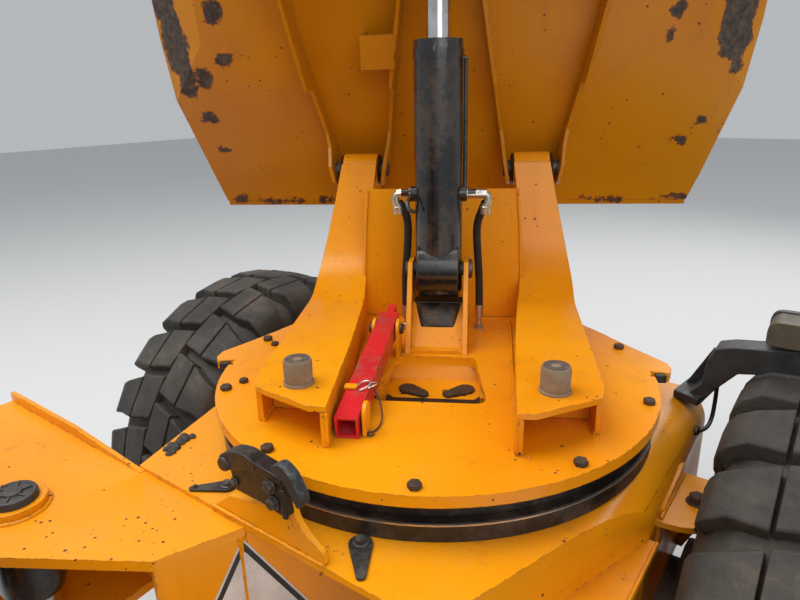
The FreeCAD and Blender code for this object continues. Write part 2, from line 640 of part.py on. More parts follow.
def rim():
    w = TYRE_WIDTH / 2.0
    ro = RIM_R - SEAT_GAP
    # columns: x, radius
    loop = [(-w + 60, ro), (w - 60, ro), (w - 60, ro - 12), (96, ro - 16), (74, ro - 40), (44, 150),
            (52, 96),
            (52, 46), (40, 46), (40, 90), (30, 150), (58, ro - 48), (64, ro - 20), (-w + 60, ro - 12)]
    disc = turned(loop, WHEEL_SIDES)
    return disc.fuse(tube(70, 46, 14, (39.8, 0, 0), (1, 0, 0)))


tyre_shape = tyre()
rim_shape = rim()
for name, sx, y in (("front_left", -1, FRONT_AXLE_Y), ("front_right", 1, FRONT_AXLE_Y),
                    ("rear_left", -1, REAR_AXLE_Y), ("rear_right", 1, REAR_AXLE_Y)):
    for part, shape in (("tyre", tyre_shape), ("rim", rim_shape)):
        s = shape.copy() if sx > 0 else mirror_x(shape)
        s.translate(V(sx * WHEEL_X, y, AXLE_Z))
        put(part + "_" + name, s)

# swivel latch on its bracket at the deck's rear edge, columns: x, z
latch_bracket = prism_y([(-118, DECK_TOP), (-69, 979), (62, 1006), (125, DECK_TOP)], -532, -520)
latch_fin = prism_x([(-520, DECK_TOP), (-490, DECK_TOP), (-520, 1000)], 52, 62)
put("latch_bracket", fuse([latch_bracket, latch_fin]))
latch_body = prism_y([(-76, 984), (-80, 1052), (-62, 1072), (66, 1052), (58, 990)], -546, -532.3)
hook = prism_y([(-84, 1052), (-30, 1086), (-24, 1050), (-76, 1040)], -545, -492)
lever = prism_y([(66, 1030), (60, 1076), (84, 1070), (124, 1018), (112, 1004)], -552, -520)
bolts = [cyl(11, 10, (30, -556, z), (0, 1, 0)) for z in (1003, 1034)]
put("swivel_latch", fuse([latch_body, hook, lever] + bolts))

# lamp arm from the front right corner of the deck out over the tyre
# columns: x, rise above the deck
channel = [(380, 0), (425, 0), (508, 25), (512, 120), (545, 152), (770, 160), (770, 172), (538, 162),
           (500, 128),
           (496, 32), (425, 10), (380, 10)]
side_plate = [(400, 0), (425, 0), (508, 20), (545, 100), (600, 142), (770, 142), (770, 172), (538,
                                                                                              162), (500, 128),
              (455, 45), (400, 12)]
arm = prism_y([(x, DECK_TOP + z) for x, z in channel], 350, 410)
flange = prism_y([(x, DECK_TOP + z) for x, z in side_plate], 344, 352)
put("lamp_arm", fuse([arm, flange]))
LAMP_LOW = DECK_TOP + 172.0
lamp = box(606, 756, 335, 430, LAMP_LOW, LAMP_LOW + 100)
lamp = lamp.makeFillet(24, edges_where(lamp, lambda b: b.XLength > 60 or b.ZMin > LAMP_LOW + 90))
put("headlamp", lamp)

# rear chassis
# the rails arch over the axle, columns: y, z
AXLE_ARCH = AXLE_Z + 100.0
rail_loop = [(PLATFORM_FRONT + 5, RAIL_LOW), (PLATFORM_FRONT + 5, RAIL_TOP), (REAR_AXLE_Y + 170, RAIL_TOP),
             (REAR_AXLE_Y + 110, ARCH_TOP), (REAR_AXLE_Y - 110, ARCH_TOP), (REAR_AXLE_Y - 170, RAIL_TOP),
             (BUMPER_FRONT, RAIL_TOP), (BUMPER_FRONT, RAIL_LOW), (REAR_AXLE_Y - 140, RAIL_LOW),
             (REAR_AXLE_Y - 105, AXLE_ARCH), (REAR_AXLE_Y + 105, AXLE_ARCH), (REAR_AXLE_Y + 140, RAIL_LOW)]
rail = prism_x(rail_loop, RAIL_X, RAIL_X + RAIL_T)
cross_front = box(-RAIL_X - RAIL_T, RAIL_X + RAIL_T, PLATFORM_FRONT - 15, PLATFORM_FRONT + 5, RAIL_LOW,
                  PLATFORM_Z - PLATE_T)
cross = [cross_front]
# cross members, columns: rear y, front y, depth
for y0, y1, depth in ((-1560, -1530, 160), (-1790, -1760, 160), (-2260, -2200, 30), (-2700, -2640, 30)):
    cross.append(box(-RAIL_X, RAIL_X, y0, y1, RAIL_TOP - depth, RAIL_TOP))
# columns: x, y
fork_half = [(200, PLATFORM_FRONT), (110, PLATFORM_FRONT + 50), (95, PIVOT_Y + 55), (55, PIVOT_Y + 95)]
fork_plan = fork_half + [(-x, y) for x, y in reversed(fork_half)]
fork_up = prism_z(fork_plan, TONGUE_TOP + RUN_GAP, TONGUE_TOP + 36)
fork_low = prism_z(fork_plan, TONGUE_LOW - 36, TONGUE_LOW - RUN_GAP)
saddle = box(RAIL_X + RAIL_T - 2, ROPS_X + 30, REAR_AXLE_Y - 110, REAR_AXLE_Y + 90, PAD_TOP + 25, RAIL_TOP)
saddle = saddle.fuse(box(PAD_IN, PAD_OUT, REAR_AXLE_Y - 85, REAR_AXLE_Y + 85, PAD_TOP, PAD_TOP + 26))
foot_x, foot_y = STEER_FOOT
lug_gap = STEER_EYE_H + 4
ram_lugs = [box(foot_x - 50, 2 - RAIL_X - RAIL_T, foot_y - 45, foot_y + 45, STEER_Z - lug_gap - 14,
                STEER_Z - lug_gap),
            box(foot_x - 50, -RAIL_X, foot_y - 45, foot_y + 45, STEER_Z + lug_gap, STEER_Z + lug_gap + 14),
            box(-RAIL_X - RAIL_T, -RAIL_X, foot_y - 45, foot_y + 45, RAIL_TOP - 2, STEER_Z + lug_gap + 14)]
frame = fuse(both(rail) + cross + [fork_up, fork_low] + ram_lugs + both(saddle))
frame = frame.cut(cyl(PIVOT_PIN_R + PIN_GAP, 400, (0, PIVOT_Y, TONGUE_LOW - 100)))
frame = frame.cut(cyl(20 + PIN_GAP, 300, (foot_x, foot_y, STEER_Z - 120)))
put("rear_chassis", frame)
put("articulation_pin", fuse([cyl(PIVOT_PIN_R, TONGUE_TOP - TONGUE_LOW + 90, (0, PIVOT_Y, TONGUE_LOW - 45)),
                              cyl(45, 10, (0, PIVOT_Y, TONGUE_TOP + 36 + SEAT_GAP))]))

# rear bumper weight and tow hitch
# columns: x, y
bumper_half = [(430, BUMPER_FRONT), (430, BUMPER_FRONT - 55), (360, BUMPER_REAR)]
bumper = prism_z(bumper_half + [(-x, y) for x, y in reversed(bumper_half)], RAIL_LOW - 10, BUMPER_TOP)
BONNET_PIN_Y = BONNET_REAR - 16.0
BONNET_PIN_Z = BONNET_LOW + 5.0
knuckles = []
for x in (292.0, 362.0, -310.0, -380.0):
    stand = box(x, x + 18, BONNET_PIN_Y - 12, BONNET_PIN_Y + 12, BUMPER_TOP - 1, BONNET_PIN_Z)
    knuckles.append(stand.fuse(cyl(12, 18, (x, BONNET_PIN_Y, BONNET_PIN_Z), (1, 0, 0))))
bumper = fuse([bumper] + knuckles)
bumper = bumper.cut(cyl(8 + PIN_GAP, 900, (-450, BONNET_PIN_Y, BONNET_PIN_Z), (1, 0, 0)))
put("rear_bumper", bumper)
hitch = box(-75, 75, BUMPER_REAR - 90, BUMPER_REAR, HITCH_Z - 70, HITCH_Z + 70)
hitch = hitch.cut(box(-76, 76, BUMPER_REAR - 91, BUMPER_REAR - 18, HITCH_Z - 38, HITCH_Z + 38))
hitch = hitch.cut(cyl(17, 200, (0, BUMPER_REAR - 55, HITCH_Z - 100)))
put("tow_hitch", hitch)
lamps = both(box(300, 350, BUMPER_REAR - 22, BUMPER_REAR, BUMPER_TOP - 80, BUMPER_TOP - 30))
put("tail_lamps", Part.makeCompound(lamps))

ENGINE_FRONT = BONNET_FRONT - 95.0
engine = box(-RAIL_X + 20, RAIL_X - 20, ENGINE_FRONT - 520, ENGINE_FRONT, RAIL_TOP, RAIL_TOP + 460)
put("engine_block", engine)

# bonnet with a hollow inside, side louvres and a rear opening behind the grille
# columns: y, z
bonnet_loop = [(BONNET_FRONT, BONNET_LOW), (BONNET_FRONT, BONNET_TOP - 20), (BONNET_FRONT - 90, BONNET_TOP),
               (BONNET_REAR + 190, BONNET_TOP - 45), (BONNET_REAR + 50, BONNET_TOP - 120),
               (BONNET_REAR, BONNET_TOP - 260), (BONNET_REAR, BONNET_LOW)]
# the same outline one sheet inside, columns: y, z
bonnet_in = [(BONNET_FRONT - 8, BONNET_LOW - 5), (BONNET_FRONT - 8, BONNET_TOP - 29),
             (BONNET_FRONT - 92, BONNET_TOP - 9),
             (BONNET_REAR + 194, BONNET_TOP - 54), (BONNET_REAR + 57, BONNET_TOP - 127),
             (BONNET_REAR + 8, BONNET_TOP - 263), (BONNET_REAR + 8, BONNET_LOW - 5)]
bonnet = prism_x(bonnet_loop, -BONNET_HALF, BONNET_HALF)
top_edges = edges_where(bonnet, lambda b: b.XLength < 1 and b.ZMin > BONNET_TOP - 130)
bonnet = bonnet.makeFillet(40, top_edges)
bonnet = bonnet.cut(prism_x(bonnet_in, -BONNET_HALF + 8, BONNET_HALF - 8))
louvres = []
for i in range(6):
    y = BONNET_REAR + 190 + i * 62
    louvres.append(box(-BONNET_HALF - 5, BONNET_HALF + 5, y, y + 32, BONNET_LOW + 160, BONNET_LOW + 340))
bonnet = bonnet.cut(Part.makeCompound(louvres))
bonnet = bonnet.cut(box(-260, 260, BONNET_REAR - 5, BONNET_REAR + 12, BONNET_LOW + 30, BONNET_LOW + 240))
hinge_ear = box(312, 360, BONNET_PIN_Y, BONNET_REAR + 2, BONNET_PIN_Z - 8, BONNET_PIN_Z + 8)
hinge_rod = cyl(8, 92, (290, BONNET_PIN_Y, BONNET_PIN_Z), (1, 0, 0))
put("bonnet", fuse([bonnet] + both(hinge_ear) + both(hinge_rod)))
grille = box(-275, 275, BONNET_REAR - 10, BONNET_REAR, BONNET_LOW + 15, BONNET_LOW + 255)
bars = []
for i in range(8):
    z = BONNET_LOW + 34 + i * 26
    bars.append(box(-250, 250, BONNET_REAR - 20, BONNET_REAR + 20, z, z + 16))
put("radiator_grille", grille.cut(Part.makeCompound(bars)))

# operator's platform, seat base and seat
# columns: x, y
floor_plan = [(-200, PLATFORM_FRONT), (440, PLATFORM_FRONT), (440, SEAT_BASE_FRONT), (-440,
                                                                                      SEAT_BASE_FRONT),
              (-440, -1290)]
platform = prism_z(floor_plan, PLATFORM_Z - PLATE_T, PLATFORM_Z)
kick = box(-200, 440, PLATFORM_FRONT, PLATFORM_FRONT + 8, PLATFORM_Z - PLATE_T, PLATFORM_Z + 60)
put("platform", fuse([platform, kick]))
pedestal = box(4 - RAIL_X, RAIL_X - 4, -1800, SEAT_BASE_FRONT - 20, RAIL_TOP, PLATFORM_Z)
upper = box(-SEAT_BASE_HALF, SEAT_BASE_HALF, SEAT_BASE_REAR, SEAT_BASE_FRONT, PLATFORM_Z - PLATE_T,
            SEAT_BASE_TOP)
put("seat_base", fuse([pedestal, upper]))
MOUNT_TOP = SEAT_BASE_TOP + 60.0
put("seat_mount", box(-190, 190, -1900, -1540, SEAT_BASE_TOP, MOUNT_TOP))
cushion = box(-240, 240, -1930, -1500, MOUNT_TOP, MOUNT_TOP + 100)
put("seat_cushion", cushion.makeChamfer(22, cushion.Edges))
BACK_LOW = MOUNT_TOP + 100.0 + SEAT_GAP
# columns: y, rise
back = prism_x([(-1835, BACK_LOW), (-1930, BACK_LOW), (-1985, BACK_LOW + 380), (-1910,
                                                                                BACK_LOW + 380)], -225, 225)
put("seat_backrest", back.makeChamfer(20, [e for e in back.Edges if e.BoundBox.ZMax > BACK_LOW + 1]))

# console, column and steering wheel
# columns: y, z
console = prism_x([(-1110, PLATFORM_Z), (-1330, PLATFORM_Z), (-1300, PLATFORM_Z + 290), (-1170,
                                                                                         PLATFORM_Z + 430),
                   (-1110, PLATFORM_Z + 430)], -160, 160)
console_edges = edges_where(console, lambda b: b.XLength < 1 and b.ZMin > PLATFORM_Z + 1)
console = console.makeFillet(25, console_edges)
levers = []
for x in (105.0, 130.0):
    levers.append(cyl(7, 170, (x, -1215, PLATFORM_Z + 370), (0, -0.5, 0.87)))
    levers.append(cyl(15, 40, (x, -1300, PLATFORM_Z + 518), (0, -0.5, 0.87)))
pedals = [box(x, x + 70, -1400, -1325, PLATFORM_Z + 40, PLATFORM_Z + 52) for x in (-125.0, 40.0)]
pedals += [box(x + 28, x + 42, -1350, -1322, PLATFORM_Z + 30, PLATFORM_Z + 45) for x in (-125.0, 40.0)]
put("console", fuse([console] + levers + pedals))
WHEEL_TILT = 35.0
# columns: along the axis, radius
ring = turned([(-12, 179), (-12, 191), (0, 198), (12, 191), (12, 179), (0, 172)], 28)
ring.rotate(V(0, 0, 0), V(0, 1, 0), 90)
spokes = [box(-178, 178, -13, 13, -6, 4), box(-13, 13, -178, 0, -6, 4)]
hub = cyl(34, 28, (0, 0, -18))
column = cyl(26, 150, (0, 0, -165))
steering = fuse([ring, hub, column] + spokes)
steering.rotate(V(0, 0, 0), V(1, 0, 0), WHEEL_TILT)
steering.translate(V(0, -1330, PLATFORM_Z + 500))
put("steering_wheel", steering.cut(console))

# roll frame, two posts on feet with a cross bar
post = box(ROPS_X - ROPS_SIDE / 2, ROPS_X + ROPS_SIDE / 2, ROPS_Y - 35, ROPS_Y + 35, RAIL_TOP, ROPS_TOP)
bar = box(-ROPS_X - ROPS_SIDE / 2, ROPS_X + ROPS_SIDE / 2, ROPS_Y - 35, ROPS_Y + 35, ROPS_TOP - 60,
          ROPS_TOP)
hoop = fuse(both(post) + [bar])
hoop = hoop.makeFillet(45, edges_where(hoop,
                                       lambda b: b.YLength > 60 and b.ZMin > ROPS_TOP - 1 and abs(b.XMin) > ROPS_X))
brace = prism_y([(ROPS_X - 150, ROPS_TOP - 59), (ROPS_X - 29, ROPS_TOP - 59), (ROPS_X - 29,
                                                                               ROPS_TOP - 180)],
                ROPS_Y - 6, ROPS_Y + 6)
put("roll_frame", fuse([hoop] + both(brace)))

# mudguards over the rear tyres
# columns: offset from the axle, rise above the seat base
guard = [(565, -15), (565, -5), (350, 90), (-350, 90), (-565, -5), (-565, -15), (-347, 80), (347, 80)]
guard = [(REAR_AXLE_Y + y, SEAT_BASE_TOP + z) for y, z in guard]
MUD_OUT = WHEEL_X + 205.0
inner_line = SEAT_BASE_HALF
wide = prism_x(guard, inner_line, MUD_OUT)
wide = wide.common(box(inner_line, MUD_OUT, ROPS_Y + 40, -1400, SEAT_BASE_TOP - 100, SEAT_BASE_TOP + 200))
narrow = prism_x(guard, ROPS_X + 40, MUD_OUT)
narrow = narrow.common(box(ROPS_X + 40, MUD_OUT, -2600, ROPS_Y + 41, SEAT_BASE_TOP - 100,
                           SEAT_BASE_TOP + 200))
skirt = prism_x([(SEAT_BASE_FRONT, PLATFORM_Z), (SEAT_BASE_FRONT, SEAT_BASE_TOP + 29),
                 (REAR_AXLE_Y + 347, SEAT_BASE_TOP + 82), (SEAT_BASE_REAR, SEAT_BASE_TOP + 82),
                 (SEAT_BASE_REAR, PLATFORM_Z)], inner_line, inner_line + 10)
guard_right = fuse([wide, narrow, skirt])
put("mudguard_right", guard_right)
put("mudguard_left", mirror_x(guard_right))

# fuel tank on the right, battery box on the left, a step hung on each
SIDE_OUT = 440.0
TANK_FRONT = PLATFORM_FRONT - 40.0
TANK_REAR = SEAT_BASE_FRONT + 20.0
tank = box(RAIL_X + RAIL_T, SIDE_OUT, TANK_REAR, TANK_FRONT, RAIL_LOW, PLATFORM_Z - PLATE_T)
tank = tank.makeFillet(28, edges_where(tank, lambda b: b.YLength > 300 and b.XMin > SIDE_OUT - 1))
put("fuel_tank", tank)
put("battery_box", box(-SIDE_OUT, -RAIL_X - RAIL_T, TANK_REAR, TANK_FRONT, RAIL_LOW, RAIL_LOW + 160))
step = fuse([box(SIDE_OUT, 690, TANK_REAR + 90, TANK_FRONT - 20, RAIL_LOW - 60, RAIL_LOW - 44),
             box(SIDE_OUT, SIDE_OUT + 12, TANK_REAR + 90, TANK_FRONT - 20, RAIL_LOW - 60, RAIL_LOW + 130)])
treads = []
for i in range(7):
    treads.append(box(SIDE_OUT + 40 + i * 30, SIDE_OUT + 55 + i * 30, TANK_REAR + 110, TANK_FRONT - 40,
                      RAIL_LOW - 70,
                      RAIL_LOW - 40))
step = step.cut(Part.makeCompound(treads))
put("side_steps", Part.makeCompound(both(step)))

# exhaust stack beside the seat base, piped from the engine's front
STACK_X = -320.0
STACK_Y = ROPS_Y - 3.0
pipe_z = BONNET_LOW - 40.0
# columns: x, y
duct = prism_z([(STACK_X - 25, STACK_Y), (STACK_X + 25, STACK_Y), (-165, ENGINE_FRONT + SEAT_GAP),
                (-215, ENGINE_FRONT + SEAT_GAP)], pipe_z - 25, pipe_z + 25)
stay = box(STACK_X - 30, STACK_X + 30, STACK_Y, SEAT_BASE_REAR, SEAT_BASE_TOP - 80, SEAT_BASE_TOP - 68)
stack = fuse([cyl(32, 990, (STACK_X, STACK_Y, pipe_z - 32)), cyl(55, 420, (STACK_X, STACK_Y,
                                                                           SEAT_BASE_TOP + 100)), duct,
              stay])
put("exhaust", stack)

# steering ram, between the bracket and the rear frame
dx = WING_PIN_X - STEER_FOOT[0]
dy = WING_PIN_Y - STEER_FOOT[1]
STEER_LEN = math.hypot(dx, dy)
STEER_TURN = math.degrees(math.atan2(-dx, dy))


def steer_set(shape):
    s = shape.copy()
    s.rotate(V(0, 0, 0), V(0, 0, 1), STEER_TURN)
    s.translate(V(STEER_FOOT[0], STEER_FOOT[1], STEER_Z))
    return to_world(s)


tube_body = fuse([cyl(40, STEER_BARREL_L - 60, (0, 60, 0), (0, 1, 0)), cyl(26, 62, (0, 0, 0), (0, 1, 0)),
                  cyl(34, 2 * STEER_EYE_H, (0, 0, -STEER_EYE_H))])
tube_body = tube_body.cut(cyl(20 + PIN_GAP, 100, (0, 0, -50)))
tube_body = tube_body.cut(cyl(22 + PIN_GAP, STEER_BARREL_L, (0, 90, 0), (0, 1, 0)))
put("steering_ram_barrel", tube_body, steer_set)
rod = fuse([cyl(22, STEER_LEN - 400, (0, 380, 0), (0, 1, 0)), cyl(38, 2 * STEER_EYE_H, (0, STEER_LEN,
                                                                                        -STEER_EYE_H))])
put("steering_ram_rod", rod, steer_set)
put("steering_ram_foot_pin", cyl(20, 2 * lug_gap + 40, (foot_x, foot_y, STEER_Z - lug_gap - 20)))
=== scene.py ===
import json
import math
import bmesh
import bpy
import numpy as np
from mathutils import Matrix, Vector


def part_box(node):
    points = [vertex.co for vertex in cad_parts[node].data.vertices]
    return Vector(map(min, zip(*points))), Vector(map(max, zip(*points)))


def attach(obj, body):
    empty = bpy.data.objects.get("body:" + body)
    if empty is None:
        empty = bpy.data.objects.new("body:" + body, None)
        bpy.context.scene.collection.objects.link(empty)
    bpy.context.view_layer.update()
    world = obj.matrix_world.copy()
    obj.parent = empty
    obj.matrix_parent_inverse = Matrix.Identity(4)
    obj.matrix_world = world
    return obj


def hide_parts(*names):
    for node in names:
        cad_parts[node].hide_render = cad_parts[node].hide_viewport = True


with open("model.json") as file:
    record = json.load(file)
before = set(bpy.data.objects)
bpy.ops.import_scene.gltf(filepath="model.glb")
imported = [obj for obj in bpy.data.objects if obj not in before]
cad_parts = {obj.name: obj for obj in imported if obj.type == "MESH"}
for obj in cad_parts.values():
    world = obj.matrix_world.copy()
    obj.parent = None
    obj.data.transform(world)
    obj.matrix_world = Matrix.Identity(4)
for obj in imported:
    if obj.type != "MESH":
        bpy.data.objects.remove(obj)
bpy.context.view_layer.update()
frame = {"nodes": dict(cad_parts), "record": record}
record = frame["record"]
nodes = frame["nodes"]
nodeBody = {n: b for b, members in record["behaviour"]["bodies"].items() for n in members}

# machine frame: origin on the ground under the slew axis, +Y forward, metres
layout = {"slewX": 0.100, "slewY": 0.916, "swivelDeg": 29.5, "tipDeg": 78.0, "hingeY": 0.530, "hingeZ": 1.420,
          "tableTop": 1.0343, "footTop": 1.116, "ramFootY": 0.210, "ramFootZ": 1.211}
swivel = math.radians(layout["swivelDeg"])
tip = math.radians(layout["tipDeg"])


def rotZ(a):
    # turn by a about +Z
    return np.array([[math.cos(a), -math.sin(a), 0], [math.sin(a), math.cos(a), 0], [0, 0, 1.0]])


def rotX(a):
    # turn by a about +X
    return np.array([[1.0, 0, 0], [0, math.cos(a), -math.sin(a)], [0, math.sin(a), math.cos(a)]])


slewAt = np.array([layout["slewX"], layout["slewY"], 0.0])


def onMachine(p):
    # machine frame to part frame
    return np.asarray(p, float) + slewAt


def onSwivel(p):
    # swivel frame (turned with the turntable) to part frame
    return np.asarray(p, float) @ rotZ(swivel).T + slewAt


def onSkip(p):
    # lowered skip's frame about its hinge to part frame
    q = np.asarray(p, float) @ rotX(-tip).T + np.array([0, layout["hingeY"], layout["hingeZ"]])
    return onSwivel(q)


# ---- camera
cameraSet = {"place": (0.717, -1.086, 1.624), "yaw": 36.65, "pitch": 18.15, "roll": 1.36, "focalPx": 623.7,
             "widthPx": 800.0, "sensor": 36.0}
yaw, pitch, roll = (math.radians(cameraSet[k]) for k in ("yaw", "pitch", "roll"))
ahead = np.array([-math.sin(yaw) * math.cos(pitch), math.cos(yaw) * math.cos(pitch), -math.sin(pitch)])
level = np.array([math.cos(yaw), math.sin(yaw), 0.0])
below = np.cross(ahead, level)
rightAxis = math.cos(roll) * level + math.sin(roll) * below
downAxis = -math.sin(roll) * level + math.cos(roll) * below
cameraData = bpy.data.cameras.new("camera")
cameraData.sensor_width = cameraSet["sensor"]
cameraData.lens = cameraSet["focalPx"] / cameraSet["widthPx"] * cameraSet["sensor"]
cameraData.clip_end = 200.0
camera = bpy.data.objects.new("camera", cameraData)
bpy.context.scene.collection.objects.link(camera)
turn = np.eye(4)
turn[:3, 0], turn[:3, 1], turn[:3, 2], turn[:3, 3] = rightAxis, -downAxis, -ahead, onMachine(cameraSet["place"])
camera.matrix_world = Matrix(turn.tolist())
bpy.context.scene.camera = camera
print("camera set")


# ---- surface helpers
def feed(tree, socket, value):
    if isinstance(value, bpy.types.NodeSocket):
        tree.links.new(value, socket)
    elif isinstance(value, (tuple, list)) and len(value) == 3 and len(socket.default_value) == 4:
        socket.default_value = (*value, 1.0)
    else:
        socket.default_value = value


def surface(name):
    mat = bpy.data.materials.new(name)
    mat.use_nodes = True
    tree = mat.node_tree
    where = tree.nodes.new("ShaderNodeTexCoord").outputs["Object"]
    return mat, tree, tree.nodes["Principled BSDF"], where


def noise(tree, where, scale, detail=4.0, rough=0.55, stretch=None):
    # fractal noise from 0 to 1, optionally on coordinates scaled per axis
    if stretch is not None:
        moved = tree.nodes.new("ShaderNodeMapping")
        feed(tree, moved.inputs["Vector"], where)
        moved.inputs["Scale"].default_value = stretch
        where = moved.outputs[0]
    n = tree.nodes.new("ShaderNodeTexNoise")
    feed(tree, n.inputs["Vector"], where)
    n.inputs["Scale"].default_value = scale
    n.inputs["Detail"].default_value = detail
    n.inputs["Roughness"].default_value = rough
    return n.outputs[0]


def calc(tree, op, a, b=0.0, clamp=False):
    n = tree.nodes.new("ShaderNodeMath")
    n.operation = op
    n.use_clamp = clamp
    feed(tree, n.inputs[0], a)
    feed(tree, n.inputs[1], b)
    return n.outputs[0]


def step(tree, value, low, high):
    # 0 below low, 1 above high, smooth between
    n = tree.nodes.new("ShaderNodeMapRange")
    n.interpolation_type = "SMOOTHSTEP"
    feed(tree, n.inputs["Value"], value)
    n.inputs["From Min"].default_value = low
    n.inputs["From Max"].default_value = high
    return n.outputs[0]


def ranged(tree, value, low, high, toLow, toHigh):
    n = tree.nodes.new("ShaderNodeMapRange")
    feed(tree, n.inputs["Value"], value)
    for key, v in (("From Min", low), ("From Max", high), ("To Min", toLow), ("To Max", toHigh)):
        n.inputs[key].default_value = v
    return n.outputs[0]


def mix(tree, fac, a, b):
    n = tree.nodes.new("ShaderNodeMix")
    n.data_type = "RGBA"
    feed(tree, n.inputs[0], fac)
    feed(tree, n.inputs[6], a)
    feed(tree, n.inputs[7], b)
    return n.outputs[2]


def bump(tree, bsdf, height, strength, distance):
    n = tree.nodes.new("ShaderNodeBump")
    n.inputs["Strength"].default_value = strength
    n.inputs["Distance"].default_value = distance
    feed(tree, n.inputs["Height"], height)
    tree.links.new(n.outputs[0], bsdf.inputs["Normal"])


def crevice(tree, reach):
    # 1 deep in corners, 0 in the open
    n = tree.nodes.new("ShaderNodeAmbientOcclusion")
    n.samples = 2
    n.inputs["Distance"].default_value = reach
    return calc(tree, "SUBTRACT", 1.0, n.outputs["AO"])


def edges(tree, radius):
    # 1 where a small bevel would bend the surface, 0 on flats
    soft = tree.nodes.new("ShaderNodeBevel")
    soft.samples = 2
    soft.inputs["Radius"].default_value = radius
    plain = tree.nodes.new("ShaderNodeNewGeometry")
    dot = tree.nodes.new("ShaderNodeVectorMath")
    dot.operation = "DOT_PRODUCT"
    tree.links.new(soft.outputs[0], dot.inputs[0])
    tree.links.new(plain.outputs["Normal"], dot.inputs[1])
    return step(tree, calc(tree, "SUBTRACT", 1.0, dot.outputs["Value"]), 0.02, 0.2)


def facing(tree, low, high):
    # how far the surface looks upward
    plain = tree.nodes.new("ShaderNodeNewGeometry")
    split = tree.nodes.new("ShaderNodeSeparateXYZ")
    tree.links.new(plain.outputs["Normal"], split.inputs[0])
    return step(tree, split.outputs[2], low, high)


def nearLine(tree, where, a, b, radius):
    # radius minus the distance to the line from a to b, positive inside
    a, b = np.array(a, float), np.array(b, float)
    span = b - a
    diff = tree.nodes.new("ShaderNodeVectorMath")
    diff.operation = "SUBTRACT"
    feed(tree, diff.inputs[0], where)
    diff.inputs[1].default_value = a.tolist()
    out = diff.outputs[0]
    if np.linalg.norm(span) > 1e-4:
        along = tree.nodes.new("ShaderNodeVectorMath")
        along.operation = "DOT_PRODUCT"
        feed(tree, along.inputs[0], out)
        along.inputs[1].default_value = (span / (span @ span)).tolist()
        held = calc(tree, "ADD", along.outputs["Value"], 0.0, True)
        back = tree.nodes.new("ShaderNodeVectorMath")
        back.operation = "SCALE"
        back.inputs[0].default_value = span.tolist()
        feed(tree, back.inputs["Scale"], held)
        rest = tree.nodes.new("ShaderNodeVectorMath")
        rest.operation = "SUBTRACT"
        feed(tree, rest.inputs[0], out)
        feed(tree, rest.inputs[1], back.outputs[0])
        out = rest.outputs[0]
    size = tree.nodes.new("ShaderNodeVectorMath")
    size.operation = "LENGTH"
    feed(tree, size.inputs[0], out)
    return calc(tree, "SUBTRACT", radius, size.outputs["Value"])


# ---- surfaces
paintSet = {"colour": (0.90, 0.345, 0.003), "deep": (0.80, 0.262, 0.002), "grime": (0.105, 0.052, 0.018),
            "dust": (0.46, 0.26, 0.075), "chip": (0.028, 0.018, 0.013), "rust": (0.16, 0.045, 0.014)}


def specks(tree, where, scale, size, share):
    # small ragged spots: inside the circle of each Voronoi cell whose random value lies in the share
    ragged = tree.nodes.new("ShaderNodeVectorMath")
    ragged.operation = "ADD"
    feed(tree, ragged.inputs[0], where)
    feed(tree, ragged.inputs[1], calc(tree, "MULTIPLY", noise(tree, where, 420.0, 2.0), 0.0035))
    cell = tree.nodes.new("ShaderNodeTexVoronoi")
    feed(tree, cell.inputs["Vector"], ragged.outputs[0])
    cell.inputs["Scale"].default_value = scale
    pick = tree.nodes.new("ShaderNodeSeparateColor")
    tree.links.new(cell.outputs["Color"], pick.inputs[0])
    radius = calc(tree, "MULTIPLY", pick.outputs[1], size)
    inside = step(tree, calc(tree, "SUBTRACT", radius, cell.outputs["Distance"]), 0.0, 0.05)
    return calc(tree, "MULTIPLY", inside, step(tree, calc(tree, "ADD", pick.outputs[0], share), 0.99, 1.0))


# groups of chips on the wing plate, from one machine point to another, with a radius
wingChips = [((-0.245, -0.638, 0.932), (-0.202, -0.632, 0.932), 0.022),
             ((-0.200, -0.632, 0.932), (-0.124, -0.650, 0.932), 0.05),
             ((-0.273, -0.759, 0.932), (-0.182, -0.672, 0.932), 0.03),
             ((-0.24, -0.48, 0.94), (-0.23, -0.51, 0.94), 0.02),
             ((-0.60, -0.72, 0.932), (-0.30, -0.70, 0.932), 0.02)]


